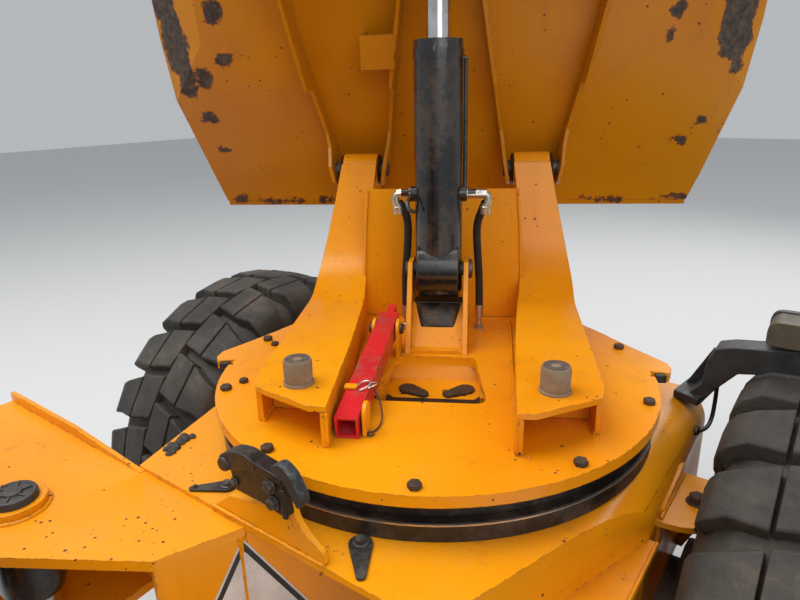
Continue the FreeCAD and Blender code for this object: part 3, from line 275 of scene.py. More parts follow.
def paintSurface(name, spots=(), grimeAmount=1.0, chipLevel=0.735, shadeTone=1.0):
    # yellow enamel: slow shade change by broad noise, brown film in corners and on noise patches of level
    # faces, dark chips where fine noise peaks or an edge meets coarse noise, and bare patches along spots
    mat, tree, bsdf, where = surface(name)
    broad = noise(tree, where, 1.6, 3.0)
    cloud = noise(tree, where, 9.0, 6.0, 0.62)
    fine = noise(tree, where, 46.0, 6.0, 0.68)
    speck = noise(tree, where, 130.0, 3.0, 0.6)
    streak = noise(tree, where, 14.0, 5.0, 0.6, (1.0, 1.0, 0.12))
    # a tone factor below 1 scales both paint colours down: painted shade, used for the tipped skip
    shades = [tuple(c * shadeTone for c in paintSet[k]) for k in ("colour", "deep")]
    colour = mix(tree, step(tree, broad, 0.35, 0.7), *shades)
    film = calc(tree, "MULTIPLY", step(tree, cloud, 0.46, 0.80), facing(tree, -0.2, 0.9))
    film = calc(tree, "MULTIPLY", film, 0.16 * grimeAmount)
    colour = mix(tree, film, colour, paintSet["dust"])
    run = calc(tree, "MULTIPLY", step(tree, streak, 0.55, 0.80), 0.22 * grimeAmount)
    colour = mix(tree, run, colour, paintSet["grime"])
    corner = calc(tree, "MULTIPLY", step(tree, crevice(tree, 0.035), 0.42, 0.95), step(tree, fine, 0.30, 0.62))
    corner = calc(tree, "MULTIPLY", corner, 0.72 * grimeAmount)
    colour = mix(tree, corner, colour, paintSet["grime"])
    mud = calc(tree, "MULTIPLY", step(tree, speck, 0.66, 0.72), step(tree, cloud, 0.45, 0.6))
    colour = mix(tree, calc(tree, "MULTIPLY", mud, 0.55 * grimeAmount), colour, paintSet["grime"])
    chips = step(tree, calc(tree, "ADD", calc(tree, "MULTIPLY", fine, 0.72), calc(tree, "MULTIPLY", cloud, 0.28)),
                 chipLevel - 0.07, chipLevel - 0.055)
    rim = step(tree, calc(tree, "ADD", calc(tree, "MULTIPLY", edges(tree, 0.004), 0.36), fine), 0.86, 0.90)
    chips = calc(tree, "MAXIMUM", chips, rim)
    fewer = noise(tree, where, 3.1, 3.0, 0.6)
    share = ranged(tree, fewer, 0.42, 0.72, 0.02, 0.16)
    if not spots:
        for a, b, radius in wingChips:
            near = step(tree, nearLine(tree, where, onMachine(a), onMachine(b), radius), -0.035, 0.01)
            share = calc(tree, "ADD", share, calc(tree, "MULTIPLY", near, 0.34))
    chips = calc(tree, "MAXIMUM", chips, specks(tree, where, 85.0, 0.30, share))
    rough = calc(tree, "ADD", 0.30, calc(tree, "MULTIPLY", calc(tree, "ADD", film, corner, True), 0.6))
    if spots:
        turned = tree.nodes.new("ShaderNodeVectorMath")
        turned.operation = "SUBTRACT"
        feed(tree, turned.inputs[0], where)
        turned.inputs[1].default_value = onSwivel((0, layout["hingeY"], layout["hingeZ"])).tolist()
        about = tree.nodes.new("ShaderNodeVectorRotate")
        about.rotation_type = "Z_AXIS"
        feed(tree, about.inputs["Vector"], turned.outputs[0])
        about.inputs["Angle"].default_value = -swivel
        lower = tree.nodes.new("ShaderNodeVectorRotate")
        lower.rotation_type = "X_AXIS"
        feed(tree, lower.inputs["Vector"], about.outputs[0])
        lower.inputs["Angle"].default_value = tip
        inSkip = lower.outputs[0]
        worn = None
        for a, b, radius in spots:
            near = nearLine(tree, inSkip, a, b, radius)
            worn = near if worn is None else calc(tree, "MAXIMUM", worn, near)
        ragged = noise(tree, where, 26.0, 6.0, 0.7)
        worn = calc(tree, "ADD", worn, calc(tree, "MULTIPLY", calc(tree, "SUBTRACT", ragged, 0.5), 0.075))
        halo = step(tree, worn, -0.004, 0.002)
        core = step(tree, worn, 0.001, 0.006)
        bare = mix(tree, step(tree, noise(tree, where, 60.0, 5.0, 0.7), 0.35, 0.7), (0.034, 0.026, 0.022),
                   (0.115, 0.075, 0.050))
        colour = mix(tree, halo, colour, paintSet["rust"])
        colour = mix(tree, core, colour, bare)
        rough = calc(tree, "ADD", rough, calc(tree, "MULTIPLY", core, 0.35), True)
    dark = mix(tree, step(tree, cloud, 0.45, 0.6), paintSet["chip"], paintSet["rust"])
    colour = mix(tree, chips, colour, dark)
    rough = calc(tree, "ADD", rough, calc(tree, "MULTIPLY", chips, 0.3), True)
    tree.links.new(colour, bsdf.inputs["Base Color"])
    tree.links.new(rough, bsdf.inputs["Roughness"])
    bsdf.inputs["Specular IOR Level"].default_value = 0.34
    bsdf.inputs["Coat Weight"].default_value = 0.03
    bsdf.inputs["Coat Roughness"].default_value = 0.18
    peel = calc(tree, "SUBTRACT", calc(tree, "MULTIPLY", noise(tree, where, 90.0, 2.0), 0.25), chips)
    bump(tree, bsdf, peel, 0.35, 0.0012)
    return mat


def plainSurface(name, low, high, rough, scale=14.0, metal=0.0, film=None, filmAmount=0.0, bumpScale=120.0,
                 bumpHeight=0.0004, coat=0.0, upward=False):
    # colour between two shades by noise, with a film of dirt on noise patches or in corners, fine bump
    mat, tree, bsdf, where = surface(name)
    cloud = noise(tree, where, scale, 6.0, 0.62)
    fine = noise(tree, where, scale * 5.0, 5.0, 0.66)
    colour = mix(tree, step(tree, cloud, 0.32, 0.68), low, high)
    roughness = ranged(tree, fine, 0.3, 0.7, max(rough - 0.06, 0.02), min(rough + 0.08, 1.0))
    if film is not None:
        patch = calc(tree, "ADD", step(tree, calc(tree, "ADD", calc(tree, "MULTIPLY", cloud, 0.5),
                                                  calc(tree, "MULTIPLY", fine, 0.5)), 0.46, 0.62),
                     step(tree, crevice(tree, 0.02), 0.35, 0.95), True)
        if upward:
            patch = calc(tree, "MULTIPLY", patch, facing(tree, -0.1, 0.8))
        patch = calc(tree, "MULTIPLY", patch, filmAmount)
        colour = mix(tree, patch, colour, film)
        roughness = calc(tree, "ADD", roughness, calc(tree, "MULTIPLY", patch, 0.5), True)
    tree.links.new(colour, bsdf.inputs["Base Color"])
    tree.links.new(roughness, bsdf.inputs["Roughness"])
    bsdf.inputs["Metallic"].default_value = metal
    bsdf.inputs["Coat Weight"].default_value = coat
    bsdf.inputs["Coat Roughness"].default_value = 0.15
    bump(tree, bsdf, noise(tree, where, bumpScale, 4.0, 0.6), 0.6, bumpHeight)
    return mat


def tyreSurface(name):
    # black rubber in two noise shades, brown-grey dried mud where two noises peak and in the grooves
    mat, tree, bsdf, where = surface(name)
    cloud = noise(tree, where, 6.0, 6.0, 0.6)
    fine = noise(tree, where, 60.0, 6.0, 0.7)
    colour = mix(tree, step(tree, cloud, 0.35, 0.65), (0.024, 0.022, 0.018), (0.050, 0.045, 0.036))
    groove = step(tree, crevice(tree, 0.06), 0.40, 0.85)
    mud = calc(tree, "MULTIPLY", groove, step(tree, fine, 0.34, 0.60))
    colour = mix(tree, calc(tree, "MULTIPLY", mud, 0.55), colour, (0.125, 0.085, 0.055))
    dry = calc(tree, "MULTIPLY", step(tree, cloud, 0.52, 0.72), step(tree, fine, 0.42, 0.62))
    colour = mix(tree, calc(tree, "MULTIPLY", dry, 0.75), colour, (0.150, 0.110, 0.075))
    tree.links.new(colour, bsdf.inputs["Base Color"])
    tree.links.new(ranged(tree, fine, 0.3, 0.7, 0.55, 0.85), bsdf.inputs["Roughness"])
    rub = calc(tree, "ADD", fine, calc(tree, "MULTIPLY", noise(tree, where, 240.0, 3.0), 0.4))
    bump(tree, bsdf, rub, 0.6, 0.003)
    return mat


def weaveSurface(name, dark, light, pitch):
    # two crossed sine bands over the piece's own run as braided sheath, shade by their product
    mat, tree, bsdf, where = surface(name)
    bands = []
    for direction in ((1.0, 1.0, 1.0), (1.0, 1.0, -1.0)):
        w = tree.nodes.new("ShaderNodeTexWave")
        w.bands_direction = "DIAGONAL"
        moved = tree.nodes.new("ShaderNodeMapping")
        feed(tree, moved.inputs["Vector"], where)
        moved.inputs["Scale"].default_value = direction
        feed(tree, w.inputs["Vector"], moved.outputs[0])
        w.inputs["Scale"].default_value = pitch
        bands.append(w.outputs["Fac"])
    weave = calc(tree, "MULTIPLY", bands[0], bands[1])
    cloud = noise(tree, where, 30.0, 5.0)
    colour = mix(tree, calc(tree, "MULTIPLY", weave, step(tree, cloud, 0.3, 0.7)), dark, light)
    tree.links.new(colour, bsdf.inputs["Base Color"])
    bsdf.inputs["Roughness"].default_value = 0.7
    bump(tree, bsdf, weave, 0.7, 0.0008)
    return mat


# worn places on the skip's underside, from one point to another in the lowered skip's frame, with a radius
skipSpots = [((-0.602, -0.431, -0.035), (-0.596, -0.445, -0.035), 0.026),
             ((-0.601, -0.315, -0.02), (-0.590, -0.322, -0.02), 0.020),
             ((-0.667, -0.262, 0.0), (-0.667, -0.284, 0.0), 0.024),
             ((-0.705, -0.150, 0.034), (-0.680, -0.150, 0.034), 0.020),
             ((-0.687, -0.044, 0.069), (-0.670, -0.044, 0.069), 0.014),
             ((0.649, -0.057, 0.066), (0.662, -0.057, 0.066), 0.012),
             ((0.565, -0.402, -0.035), (0.572, -0.41, -0.035), 0.014),
             ((0.560, -0.345, -0.03), (0.560, -0.35, -0.03), 0.010),
             ((0.692, -0.115, 0.046), (0.70, -0.115, 0.046), 0.012),
             ((-0.600, 0.130, 0.110), (-0.470, 0.135, 0.110), 0.012),
             ((-0.70, 0.130, 0.112), (-0.640, 0.130, 0.112), 0.012),
             ((-0.400, 0.130, 0.110), (-0.340, 0.130, 0.110), 0.010),
             ((0.400, 0.130, 0.110), (0.520, 0.130, 0.110), 0.010),
             ((0.610, 0.130, 0.112), (0.735, 0.120, 0.112), 0.012),
             ((-0.770, -0.520, 0.030), (-0.745, -0.330, 0.012), 0.050),
             ((-0.715, -0.360, 0.0), (-0.720, -0.240, 0.005), 0.026),
             ((0.730, -0.500, 0.020), (0.728, -0.330, 0.0), 0.055),
             ((0.735, -0.33, 0.0), (0.742, -0.262, 0.012), 0.020),
             ((-0.760, -1.05, 0.030), (-0.760, -0.56, 0.030), 0.040),
             ((0.740, -1.05, 0.030), (0.740, -0.56, 0.030), 0.045)]
surfaces = {
    "paint": paintSurface("paint"),
    # darker copy of the yellow paint for the tipped skip: painted shade of its underside; the worn spots and chips are
    # real wear
    "skip": paintSurface("skipPaintShaded", skipSpots, 0.9, 0.715, 0.64),
    "grease": plainSurface("greasySteel", (0.006, 0.006, 0.006), (0.018, 0.016, 0.014), 0.34, 10.0,
                           film=(0.085, 0.055, 0.035), filmAmount=0.45, bumpScale=50.0, bumpHeight=0.0012),
    "black": plainSurface("blackPaint", (0.014, 0.014, 0.015), (0.032, 0.032, 0.033), 0.38, 12.0,
                          film=(0.12, 0.085, 0.055), filmAmount=0.40, upward=True),
    "ramBlack": plainSurface("ramBlack", (0.008, 0.008, 0.008), (0.016, 0.015, 0.014), 0.20, 7.0,
                             film=(0.10, 0.065, 0.038), filmAmount=0.35, coat=0.5),
    "chrome": plainSurface("chrome", (0.74, 0.75, 0.77), (0.60, 0.60, 0.60), 0.10, 20.0, metal=1.0,
                           film=(0.25, 0.20, 0.14), filmAmount=0.18, bumpHeight=0.00005),
    "steel": plainSurface("boltSteel", (0.17, 0.165, 0.155), (0.085, 0.075, 0.065), 0.45, 40.0, metal=0.65,
                          film=(0.075, 0.045, 0.028), filmAmount=0.55),
    "zinc": plainSurface("zinc", (0.62, 0.58, 0.42), (0.50, 0.50, 0.48), 0.32, 50.0, metal=0.9,
                         film=(0.16, 0.12, 0.07), filmAmount=0.35),
    "tyre": tyreSurface("tyreRubber"),
    "buffer": plainSurface("bufferRubber", (0.30, 0.215, 0.135), (0.20, 0.135, 0.080), 0.80, 30.0,
                           film=(0.34, 0.24, 0.14), filmAmount=0.35),
    "bufferTop": plainSurface("bufferTop", (0.060, 0.048, 0.040), (0.125, 0.095, 0.070), 0.6, 60.0,
                              film=(0.20, 0.15, 0.10), filmAmount=0.3),
    "red": plainSurface("redPaint", (0.66, 0.012, 0.022), (0.52, 0.010, 0.020), 0.34, 8.0,
                        film=(0.22, 0.075, 0.045), filmAmount=0.55, coat=0.1),
    "vinyl": plainSurface("vinyl", (0.018, 0.018, 0.019), (0.030, 0.030, 0.031), 0.52, 9.0,
                          film=(0.13, 0.11, 0.085), filmAmount=0.20, bumpScale=420.0, bumpHeight=0.0005, upward=True),
    "plastic": plainSurface("plastic", (0.020, 0.020, 0.021), (0.040, 0.040, 0.040), 0.48, 16.0,
                            film=(0.15, 0.12, 0.09), filmAmount=0.25, bumpScale=300.0, bumpHeight=0.0003, upward=True),
    "cast": plainSurface("castIron", (0.045, 0.040, 0.036), (0.090, 0.075, 0.060), 0.72, 12.0,
                         film=(0.16, 0.11, 0.07), filmAmount=0.5, bumpScale=160.0, bumpHeight=0.001),
    "exhaust": plainSurface("exhaustSteel", (0.13, 0.085, 0.060), (0.060, 0.045, 0.038), 0.62, 10.0, metal=0.6,
                            film=(0.20, 0.085, 0.035), filmAmount=0.6),
    "hose": weaveSurface("hoseSheath", (0.008, 0.008, 0.008), (0.045, 0.043, 0.040), 95.0),
    "olive": plainSurface("lampHousing", (0.090, 0.075, 0.048), (0.060, 0.050, 0.035), 0.5, 14.0,
                          film=(0.20, 0.16, 0.11), filmAmount=0.4),
    "signWhite": plainSurface("signWhite", (0.74, 0.74, 0.70), (0.66, 0.66, 0.62), 0.35, 10.0,
                              film=(0.38, 0.32, 0.24), filmAmount=0.25, bumpHeight=0.00005),
    # black for the sign's print, also used as painted shadow in the turntable's well
    "signPrintAndShadowBlack": plainSurface("signPrintAndShadowBlack", (0.012, 0.012, 0.012), (0.020, 0.020, 0.020), 0.38, 10.0),
    "lensRed": plainSurface("lensRed", (0.50, 0.010, 0.010), (0.42, 0.008, 0.008), 0.16, 20.0, coat=0.6,
                            film=(0.20, 0.15, 0.10), filmAmount=0.2),
    "lensClear": plainSurface("lensClear", (0.55, 0.56, 0.56), (0.42, 0.43, 0.43), 0.12, 30.0, coat=0.8,
                              film=(0.25, 0.20, 0.14), filmAmount=0.3),
    "boltDark": plainSurface("boltDark", (0.045, 0.030, 0.020), (0.085, 0.055, 0.035), 0.55, 60.0, metal=0.3,
                             film=(0.12, 0.06, 0.025), filmAmount=0.5, bumpScale=300.0, bumpHeight=0.0006),
    "greaseDark": plainSurface("greaseDark", (0.010, 0.008, 0.007), (0.035, 0.020, 0.012), 0.38, 35.0,
                               film=(0.11, 0.055, 0.018), filmAmount=0.45, bumpScale=90.0, bumpHeight=0.003),
    # near-black finish; the pale bluish-grey film on upward faces, patchy by noise and in corners, is painted sheen
    "armGreySheen": plainSurface("armGreySheen", (0.020, 0.022, 0.023), (0.034, 0.037, 0.038), 0.42, 16.0,
                            film=(0.145, 0.165, 0.165), filmAmount=0.75, upward=True),
    "engine": plainSurface("enginePaint", (0.030, 0.032, 0.035), (0.055, 0.055, 0.055), 0.55, 10.0,
                           film=(0.10, 0.08, 0.06), filmAmount=0.5),
}
print("surfaces made", len(surfaces))


# ---- mesh helpers
def shade(me, angle):
    me.polygons.foreach_set("use_smooth", np.ones(len(me.polygons), bool))
    me.set_sharp_from_angle(angle=math.radians(angle))
    me.update()


def addBevel(obj, width, angle):
    mod = obj.modifiers.new("edges", "BEVEL")
    mod.width = width
    mod.segments = 2
    mod.limit_method = "ANGLE"
    mod.angle_limit = math.radians(angle)
    mod.harden_normals = True
    mod.use_clamp_overlap = True
    mod.miter_outer = "MITER_ARC"


def piece(name, form, look, body, width=0.0, angle=34.0, stands=()):
    # one new object from points and faces, riding on a body
    me = bpy.data.meshes.new(name)
    me.from_pydata([tuple(map(float, v)) for v in form[0]], [], [tuple(map(int, f)) for f in form[1]])
    me.validate()
    bm = bmesh.new()
    bm.from_mesh(me)
    bmesh.ops.recalc_face_normals(bm, faces=bm.faces)
    bm.to_mesh(me)
    bm.free()
    obj = bpy.data.objects.new(name, me)
    bpy.context.scene.collection.objects.link(obj)
    me.materials.append(surfaces[look])
    shade(me, angle)
    if width:
        addBevel(obj, width, angle)
    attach(obj, body)
    if stands:
        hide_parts(*stands)
    return obj


def cutMesh(me, blocks):
    # the mesh less some closed blocks, by exact boolean
    holder = bpy.data.objects.new("cutHolder", me)
    bpy.context.scene.collection.objects.link(holder)
    cutters = []
    for verts, faces in blocks:
        shape = bpy.data.meshes.new("cutBlock")
        shape.from_pydata([tuple(map(float, v)) for v in verts], [], [tuple(map(int, f)) for f in faces])
        cutters.append(bpy.data.objects.new("cutBlock", shape))
        bpy.context.scene.collection.objects.link(cutters[-1])
        mod = holder.modifiers.new("cut", "BOOLEAN")
        mod.operation = "DIFFERENCE"
        mod.solver = "EXACT"
        mod.object = cutters[-1]
    graph = bpy.context.evaluated_depsgraph_get()
    result = bpy.data.meshes.new_from_object(holder.evaluated_get(graph))
    for obj in [holder] + cutters:
        old = obj.data
        bpy.data.objects.remove(obj)
        bpy.data.meshes.remove(old)
    return result


def dressNode(node, look, width, angle=30.0, blocks=()):
    # the node's own solid, merged and cleaned, with softened edges, less some blocks
    bm = bmesh.new()
    bm.from_mesh(nodes[node].data)
    bmesh.ops.remove_doubles(bm, verts=bm.verts, dist=1e-5)
    bmesh.ops.dissolve_limit(bm, angle_limit=math.radians(0.6), verts=bm.verts, edges=bm.edges)
    me = bpy.data.meshes.new(node + "Form")
    bm.to_mesh(me)
    bm.free()
    if blocks:
        me = cutMesh(me, blocks)
        me.name = node + "Form"
        me.materials.clear()
    obj = bpy.data.objects.new(node + "Form", me)
    bpy.context.scene.collection.objects.link(obj)
    me.materials.append(surfaces[look])
    shade(me, angle)
    if width:
        addBevel(obj, width, angle)
    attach(obj, nodeBody[node])
    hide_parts(node)
    return obj


def joined(parts, place=None):
    # several (points, faces) as one, each put in place
    verts, faces, base = [], [], 0
    for v, f in parts:
        v = np.asarray(v, float)
        verts.append(v if place is None else place(v))
        faces += [tuple(i + base for i in face) for face in f]
        base += len(v)
    return np.vstack(verts), faces


def moved(part, place):
    return place(np.asarray(part[0], float)), part[1]


def ringSkin(rings, closed=False, caps=True):
    # quads between rings of equal count
    rings = [np.asarray(r, float) for r in rings]
    n, m = len(rings[0]), len(rings)
    faces = []
    for i in range(m if closed else m - 1):
        j = (i + 1) % m
        for k in range(n):
            l = (k + 1) % n
            faces.append((i * n + k, i * n + l, j * n + l, j * n + k))
    if caps and not closed:
        faces.append(tuple(reversed(range(n))))
        faces.append(tuple((m - 1) * n + k for k in range(n)))
    return np.vstack(rings), faces


def frameFor(axis):
    a = np.asarray(axis, float)
    a = a / np.linalg.norm(a)
    u = np.cross(a, (0, 0, 1.0) if abs(a[2]) < 0.9 else (1.0, 0, 0))
    u /= np.linalg.norm(u)
    return a, u, np.cross(a, u)


def turnedForm(at, axis, profile, sides=24, phase=0.0):
    # profile of (height, radius) carried round an axis
    a, u, w = frameFor(axis)
    ang = np.arange(sides) * 2 * math.pi / sides + phase
    rings = []
    for h, r in profile:
        rings.append(np.asarray(at, float) + a * h + r * (np.cos(ang)[:, None] * u + np.sin(ang)[:, None] * w))
    return ringSkin(rings)


def blockForm(lo, hi):
    (x0, y0, z0), (x1, y1, z1) = lo, hi
    v = [(x, y, z) for z in (z0, z1) for x, y in ((x0, y0), (x1, y0), (x1, y1), (x0, y1))]
    return np.array(v, float), [(3, 2, 1, 0), (4, 5, 6, 7), (0, 1, 5, 4), (1, 2, 6, 5), (2, 3, 7, 6), (3, 0, 4, 7)]


def plateForm(outline, thick):
    # flat outline in XY from z 0 to thick, turned anticlockwise first
    area = sum(x0 * y1 - x1 * y0 for (x0, y0), (x1, y1) in zip(outline, list(outline[1:]) + [outline[0]]))
    outline = list(outline) if area > 0 else list(reversed(outline))
    n = len(outline)
    v = [(x, y, 0.0) for x, y in outline] + [(x, y, thick) for x, y in outline]
    f = [tuple(reversed(range(n))), tuple(range(n, 2 * n))]
    f += [(i, (i + 1) % n, (i + 1) % n + n, i + n) for i in range(n)]
    return np.array(v, float), f


def prismZ(outline, z0, z1):
    v, f = plateForm(outline, z1 - z0)
    return v + (0, 0, z0), f


def prismY(outline, y0, y1):
    # outline in XZ from y0 to y1
    v, f = plateForm(outline, y1 - y0)
    return np.c_[v[:, 0], y1 - v[:, 2], v[:, 1]], f


def prismX(outline, x0, x1):
    # outline in YZ from x0 to x1
    v, f = plateForm(outline, x1 - x0)
    return np.c_[v[:, 2] + x0, v[:, 0], v[:, 1]], f


def curveIn(points, turns, count=5):
    # outline with some corners rounded: turns is corner index to radius, arcs as quadratic curves
    points = [np.asarray(p, float) for p in points]
    out = []
    for i, p in enumerate(points):
        r = turns.get(i, 0.0)
        if not r:
            out.append(p)
            continue
        before, after = points[i - 1] - p, points[(i + 1) % len(points)] - p
        a = p + before / np.linalg.norm(before) * r
        b = p + after / np.linalg.norm(after) * r
        t = np.linspace(0, 1, count)[:, None]
        out += list((1 - t) ** 2 * a + 2 * t * (1 - t) * p + t ** 2 * b)
    return [tuple(p) for p in out]


def boltForm(at, axis, size, washer=1.45, height=0.62, phase=0.3, nut=False):
    # hexagon head with chamfered top over a washer; size is across the corners' radius
    parts = []
    if washer:
        parts.append(turnedForm(at, axis, [(0, size * washer), (size * 0.16, size * washer),
                                           (size * 0.20, size * washer * 0.94)], 20))
    low = size * 0.2 if washer else 0.0
    top = low + size * height * 1.15
    a, u, w = frameFor(axis)
    hexagon = [(low, size), (top - size * 0.14, size), (top, size * 0.84)]
    parts.append(turnedForm(at, axis, hexagon, 6, phase))
    if nut:
        parts.append(turnedForm(at, axis, [(top - 0.001, size * 0.5), (top + size * 0.35, size * 0.5),
                                           (top + size * 0.42, size * 0.4)], 12))
    return joined(parts)


def tubeForm(path, radius, sides=10):
    # round tube along points, carried without twist; the radius is one value or one for each point
    path = np.asarray(path, float)
    tangents = np.gradient(path, axis=0)
    tangents /= np.linalg.norm(tangents, axis=1)[:, None]
    _, u, _ = frameFor(tangents[0])
    ang = np.arange(sides) * 2 * math.pi / sides
    rings = []
    radius = np.broadcast_to(radius, len(path))
    for p, t, q in zip(path, tangents, radius):
        u = u - (u @ t) * t
        u /= np.linalg.norm(u)
        w = np.cross(t, u)
        rings.append(p + q * (np.cos(ang)[:, None] * u + np.sin(ang)[:, None] * w))
    return ringSkin(rings)


def smoothLine(points, count):
    # points read from a NURBS spline through the route
    curve = bpy.data.curves.new("route", "CURVE")
    curve.dimensions = "3D"
    curve.resolution_u = max(2, int(count / max(len(points) - 1, 1)))
    spline = curve.splines.new("NURBS")
    spline.points.add(len(points) - 1)
    for q, p in zip(spline.points, points):
        q.co = (*[float(x) for x in p], 1.0)
    spline.order_u = 3
    spline.use_endpoint_u = True
    holder = bpy.data.objects.new("route", curve)
    bpy.context.scene.collection.objects.link(holder)
    me = bpy.data.meshes.new_from_object(holder)
    line = np.array([v.co[:] for v in me.vertices])
    bpy.data.objects.remove(holder)
    bpy.data.meshes.remove(me)
    bpy.data.curves.remove(curve)
    return line


def evenLine(points, gap):
    # points spaced evenly along straight runs
    points = np.asarray(points, float)
    runs = np.linalg.norm(np.diff(points, axis=0), axis=1)
    along = np.r_[0, np.cumsum(runs)]
    s = np.linspace(0, along[-1], max(3, int(along[-1] / gap)))
    return np.c_[tuple(np.interp(s, along, points[:, k]) for k in range(3))]


def weldForm(points, radius, seed=3):
    # rippled bead: radius swells once for each run of metal, with seeded unevenness
    line = evenLine(points, 0.004)
    rng = np.random.default_rng(seed)
    s = np.arange(len(line))
    swell = 1 + 0.16 * np.abs(np.sin(s * 1.15)) + rng.normal(0, 0.06, len(line))
    line = line + rng.normal(0, radius * 0.09, line.shape)
    return tubeForm(line, radius * swell, 7)


def roundLine(at, radius, count):
    a = np.linspace(0, 2 * math.pi, count)
    return np.c_[at[0] + radius * np.cos(a), at[1] + radius * np.sin(a), np.full(count, at[2])]


# ---- plain solids that keep their form: node, surface, edge radius
dressed = [("front_chassis", "paint", 0.0030), ("steering_bracket", "paint", 0.0030),
           ("turntable_plate", "paint", 0.0022),
           ("tower_web", "paint", 0.002),
           ("ram_foot", "paint", 0.002), ("prop_ears", "paint", 0.0015), ("skip_shell", "skip", 0.003),
           ("skip_ribs_left", "skip", 0.0025), ("skip_ribs_right", "skip", 0.0025), ("ram_eye_bracket", "skip", 0.002),
           ("slew_ring_lower", "grease", 0.002), ("slew_ring_upper", "grease", 0.002), ("front_axle", "cast", 0.003),
           ("rear_axle", "cast", 0.003), ("ram_pin_lower", "steel", 0.001), ("skip_hinge_pins", "steel", 0.001),
           ("safety_prop", "red", 0.003), ("ram_barrel", "ramBlack", 0.0015), ("ram_rod", "chrome", 0.001),
           ("rear_chassis", "paint", 0.003), ("articulation_pin", "steel", 0.0015), ("engine_block", "engine", 0.006),
           ("platform", "paint", 0.002), ("seat_base", "paint", 0.004), ("seat_mount", "plastic", 0.004),
           ("console", "plastic", 0.003), ("roll_frame", "paint", 0.004), ("side_steps", "black", 0.002),
           ("mudguard_left", "plastic", 0.003), ("mudguard_right", "plastic", 0.003), ("fuel_tank", "black", 0.004),
           ("battery_box", "black", 0.004), ("rear_bumper", "paint", 0.006), ("tow_hitch", "black", 0.003),
           ("tail_lamps", "lensRed", 0.002), ("steering_ram_foot_pin", "steel", 0.001), ("exhaust", "exhaust", 0.001),
           ("bonnet", "paint", 0.002), ("radiator_grille", "black", 0.001), ("latch_bracket", "paint", 0.002),
           ("steering_ram_barrel", "black", 0.001), ("steering_ram_rod", "chrome", 0.001),
           ("steering_wheel", "plastic", 0.002)]
# what the photograph shows cut back: the rear wall right of the web, and the lip cut down to a low, bevelled edge
chassisCut = [moved(blockForm((-0.033, -0.80, 0.688), (0.315, -0.507, 0.9275)), onMachine)]
bracketCut = [moved(blockForm((-0.95, -0.60, 0.954), (-0.25, -0.50, 1.10)), onMachine)]
cuts = {"front_chassis": chassisCut, "steering_bracket": bracketCut}
footCut = [moved(blockForm((-0.10, 0.10, 1.2335), (0.10, 0.32, 1.30)), onSwivel)]
cuts["ram_foot"] = footCut
wellCorners = ([(-0.0900, 0.030), (-0.1285, -0.146), (-0.1260, -0.1575), (-0.0850, -0.1575)],
               [(0.0700, 0.030), (0.0850, -0.1575), (0.1040, -0.1560), (0.1085, -0.145), (0.0840, 0.030)])
cuts["turntable_plate"] = [moved(prismZ(q, 1.0118, 1.0400), onSwivel) for q in wellCorners]
for node, look, width in dressed:
    dressNode(node, look, width, blocks=cuts.get(node, ()))
print("solids dressed", len(dressed))


# ---- wheels
tyreSet = {"outer": 0.5375, "half": 0.200, "rimR": 0.262, "lugs": 22, "segments": 132}


def tyreForm():
    # carcass with rounded shoulders and bead rings, and swept lugs with thick shoulder ends
    r, w = tyreSet["outer"], tyreSet["half"]
    # columns: radius, half width
    half = [(tyreSet["rimR"] + 0.002, w - 0.060), (0.272, w - 0.036), (0.290, w - 0.027), (0.296, w - 0.019),
            (0.302, w - 0.022), (0.330, w - 0.010), (0.370, w - 0.0045), (0.405, w - 0.005), (0.412, w - 0.0012),
            (0.419, w - 0.006), (0.450, w - 0.016), (0.478, w - 0.034), (0.496, w - 0.070), (0.504, w - 0.130)]
    loop = [(-x, q) for q, x in half] + [(x, q) for q, x in reversed(half)]
    n = tyreSet["segments"]
    ang = np.arange(n) * 2 * math.pi / n
    rings = [np.array([(x, q * math.sin(a), q * math.cos(a)) for x, q in loop]) for a in ang]
    parts = [ringSkin(rings, closed=True)]
    # two blocks for each lug, columns: across, leading edge, trailing edge in pitches, top radius, low radius
    centre = [(0.003, -0.42, 0.40, 0.5345, 0.485), (0.040, -0.37, 0.45, 0.5362, 0.485),
              (0.083, -0.31, 0.52, 0.5355, 0.48)]
    shoulder = [(0.090, -0.28, 0.54, 0.5345, 0.480), (0.150, -0.10, 0.53, 0.5310, 0.465),
                (0.180, -0.03, 0.60, 0.5180, 0.455), (0.193, 0.01, 0.62, 0.4980, 0.445),
                (0.1990, 0.05, 0.60, 0.4740, 0.435), (0.1992, 0.10, 0.56, 0.4420, 0.420),
                (0.1960, 0.15, 0.50, 0.4200, 0.405)]
    pitch = 2 * math.pi / tyreSet["lugs"]
    for i in range(tyreSet["lugs"]):
        for side in (1, -1):
            for rows in (centre, shoulder):
                rings = []
                for x, lead, trail, top, bottom in rows:
                    inner = x if x < 0.19 else x - 0.022
                    outline = [(inner, lead - 0.035, bottom), (x, lead, top - 0.004), (x, lead + 0.03, top),
                               (x, trail - 0.03, top), (x, trail, top - 0.004), (inner, trail + 0.035, bottom)]
                    rings.append(np.array(outline))
                v, f = ringSkin(rings)
                a = (i + (0.5 if side < 0 else 0.0) - v[:, 1]) * pitch
                v = np.c_[side * v[:, 0], v[:, 2] * np.sin(a), v[:, 2] * np.cos(a)]
                if side > 0:
                    f = [tuple(reversed(face)) for face in f]
                parts.append((v, f))
    return joined(parts)


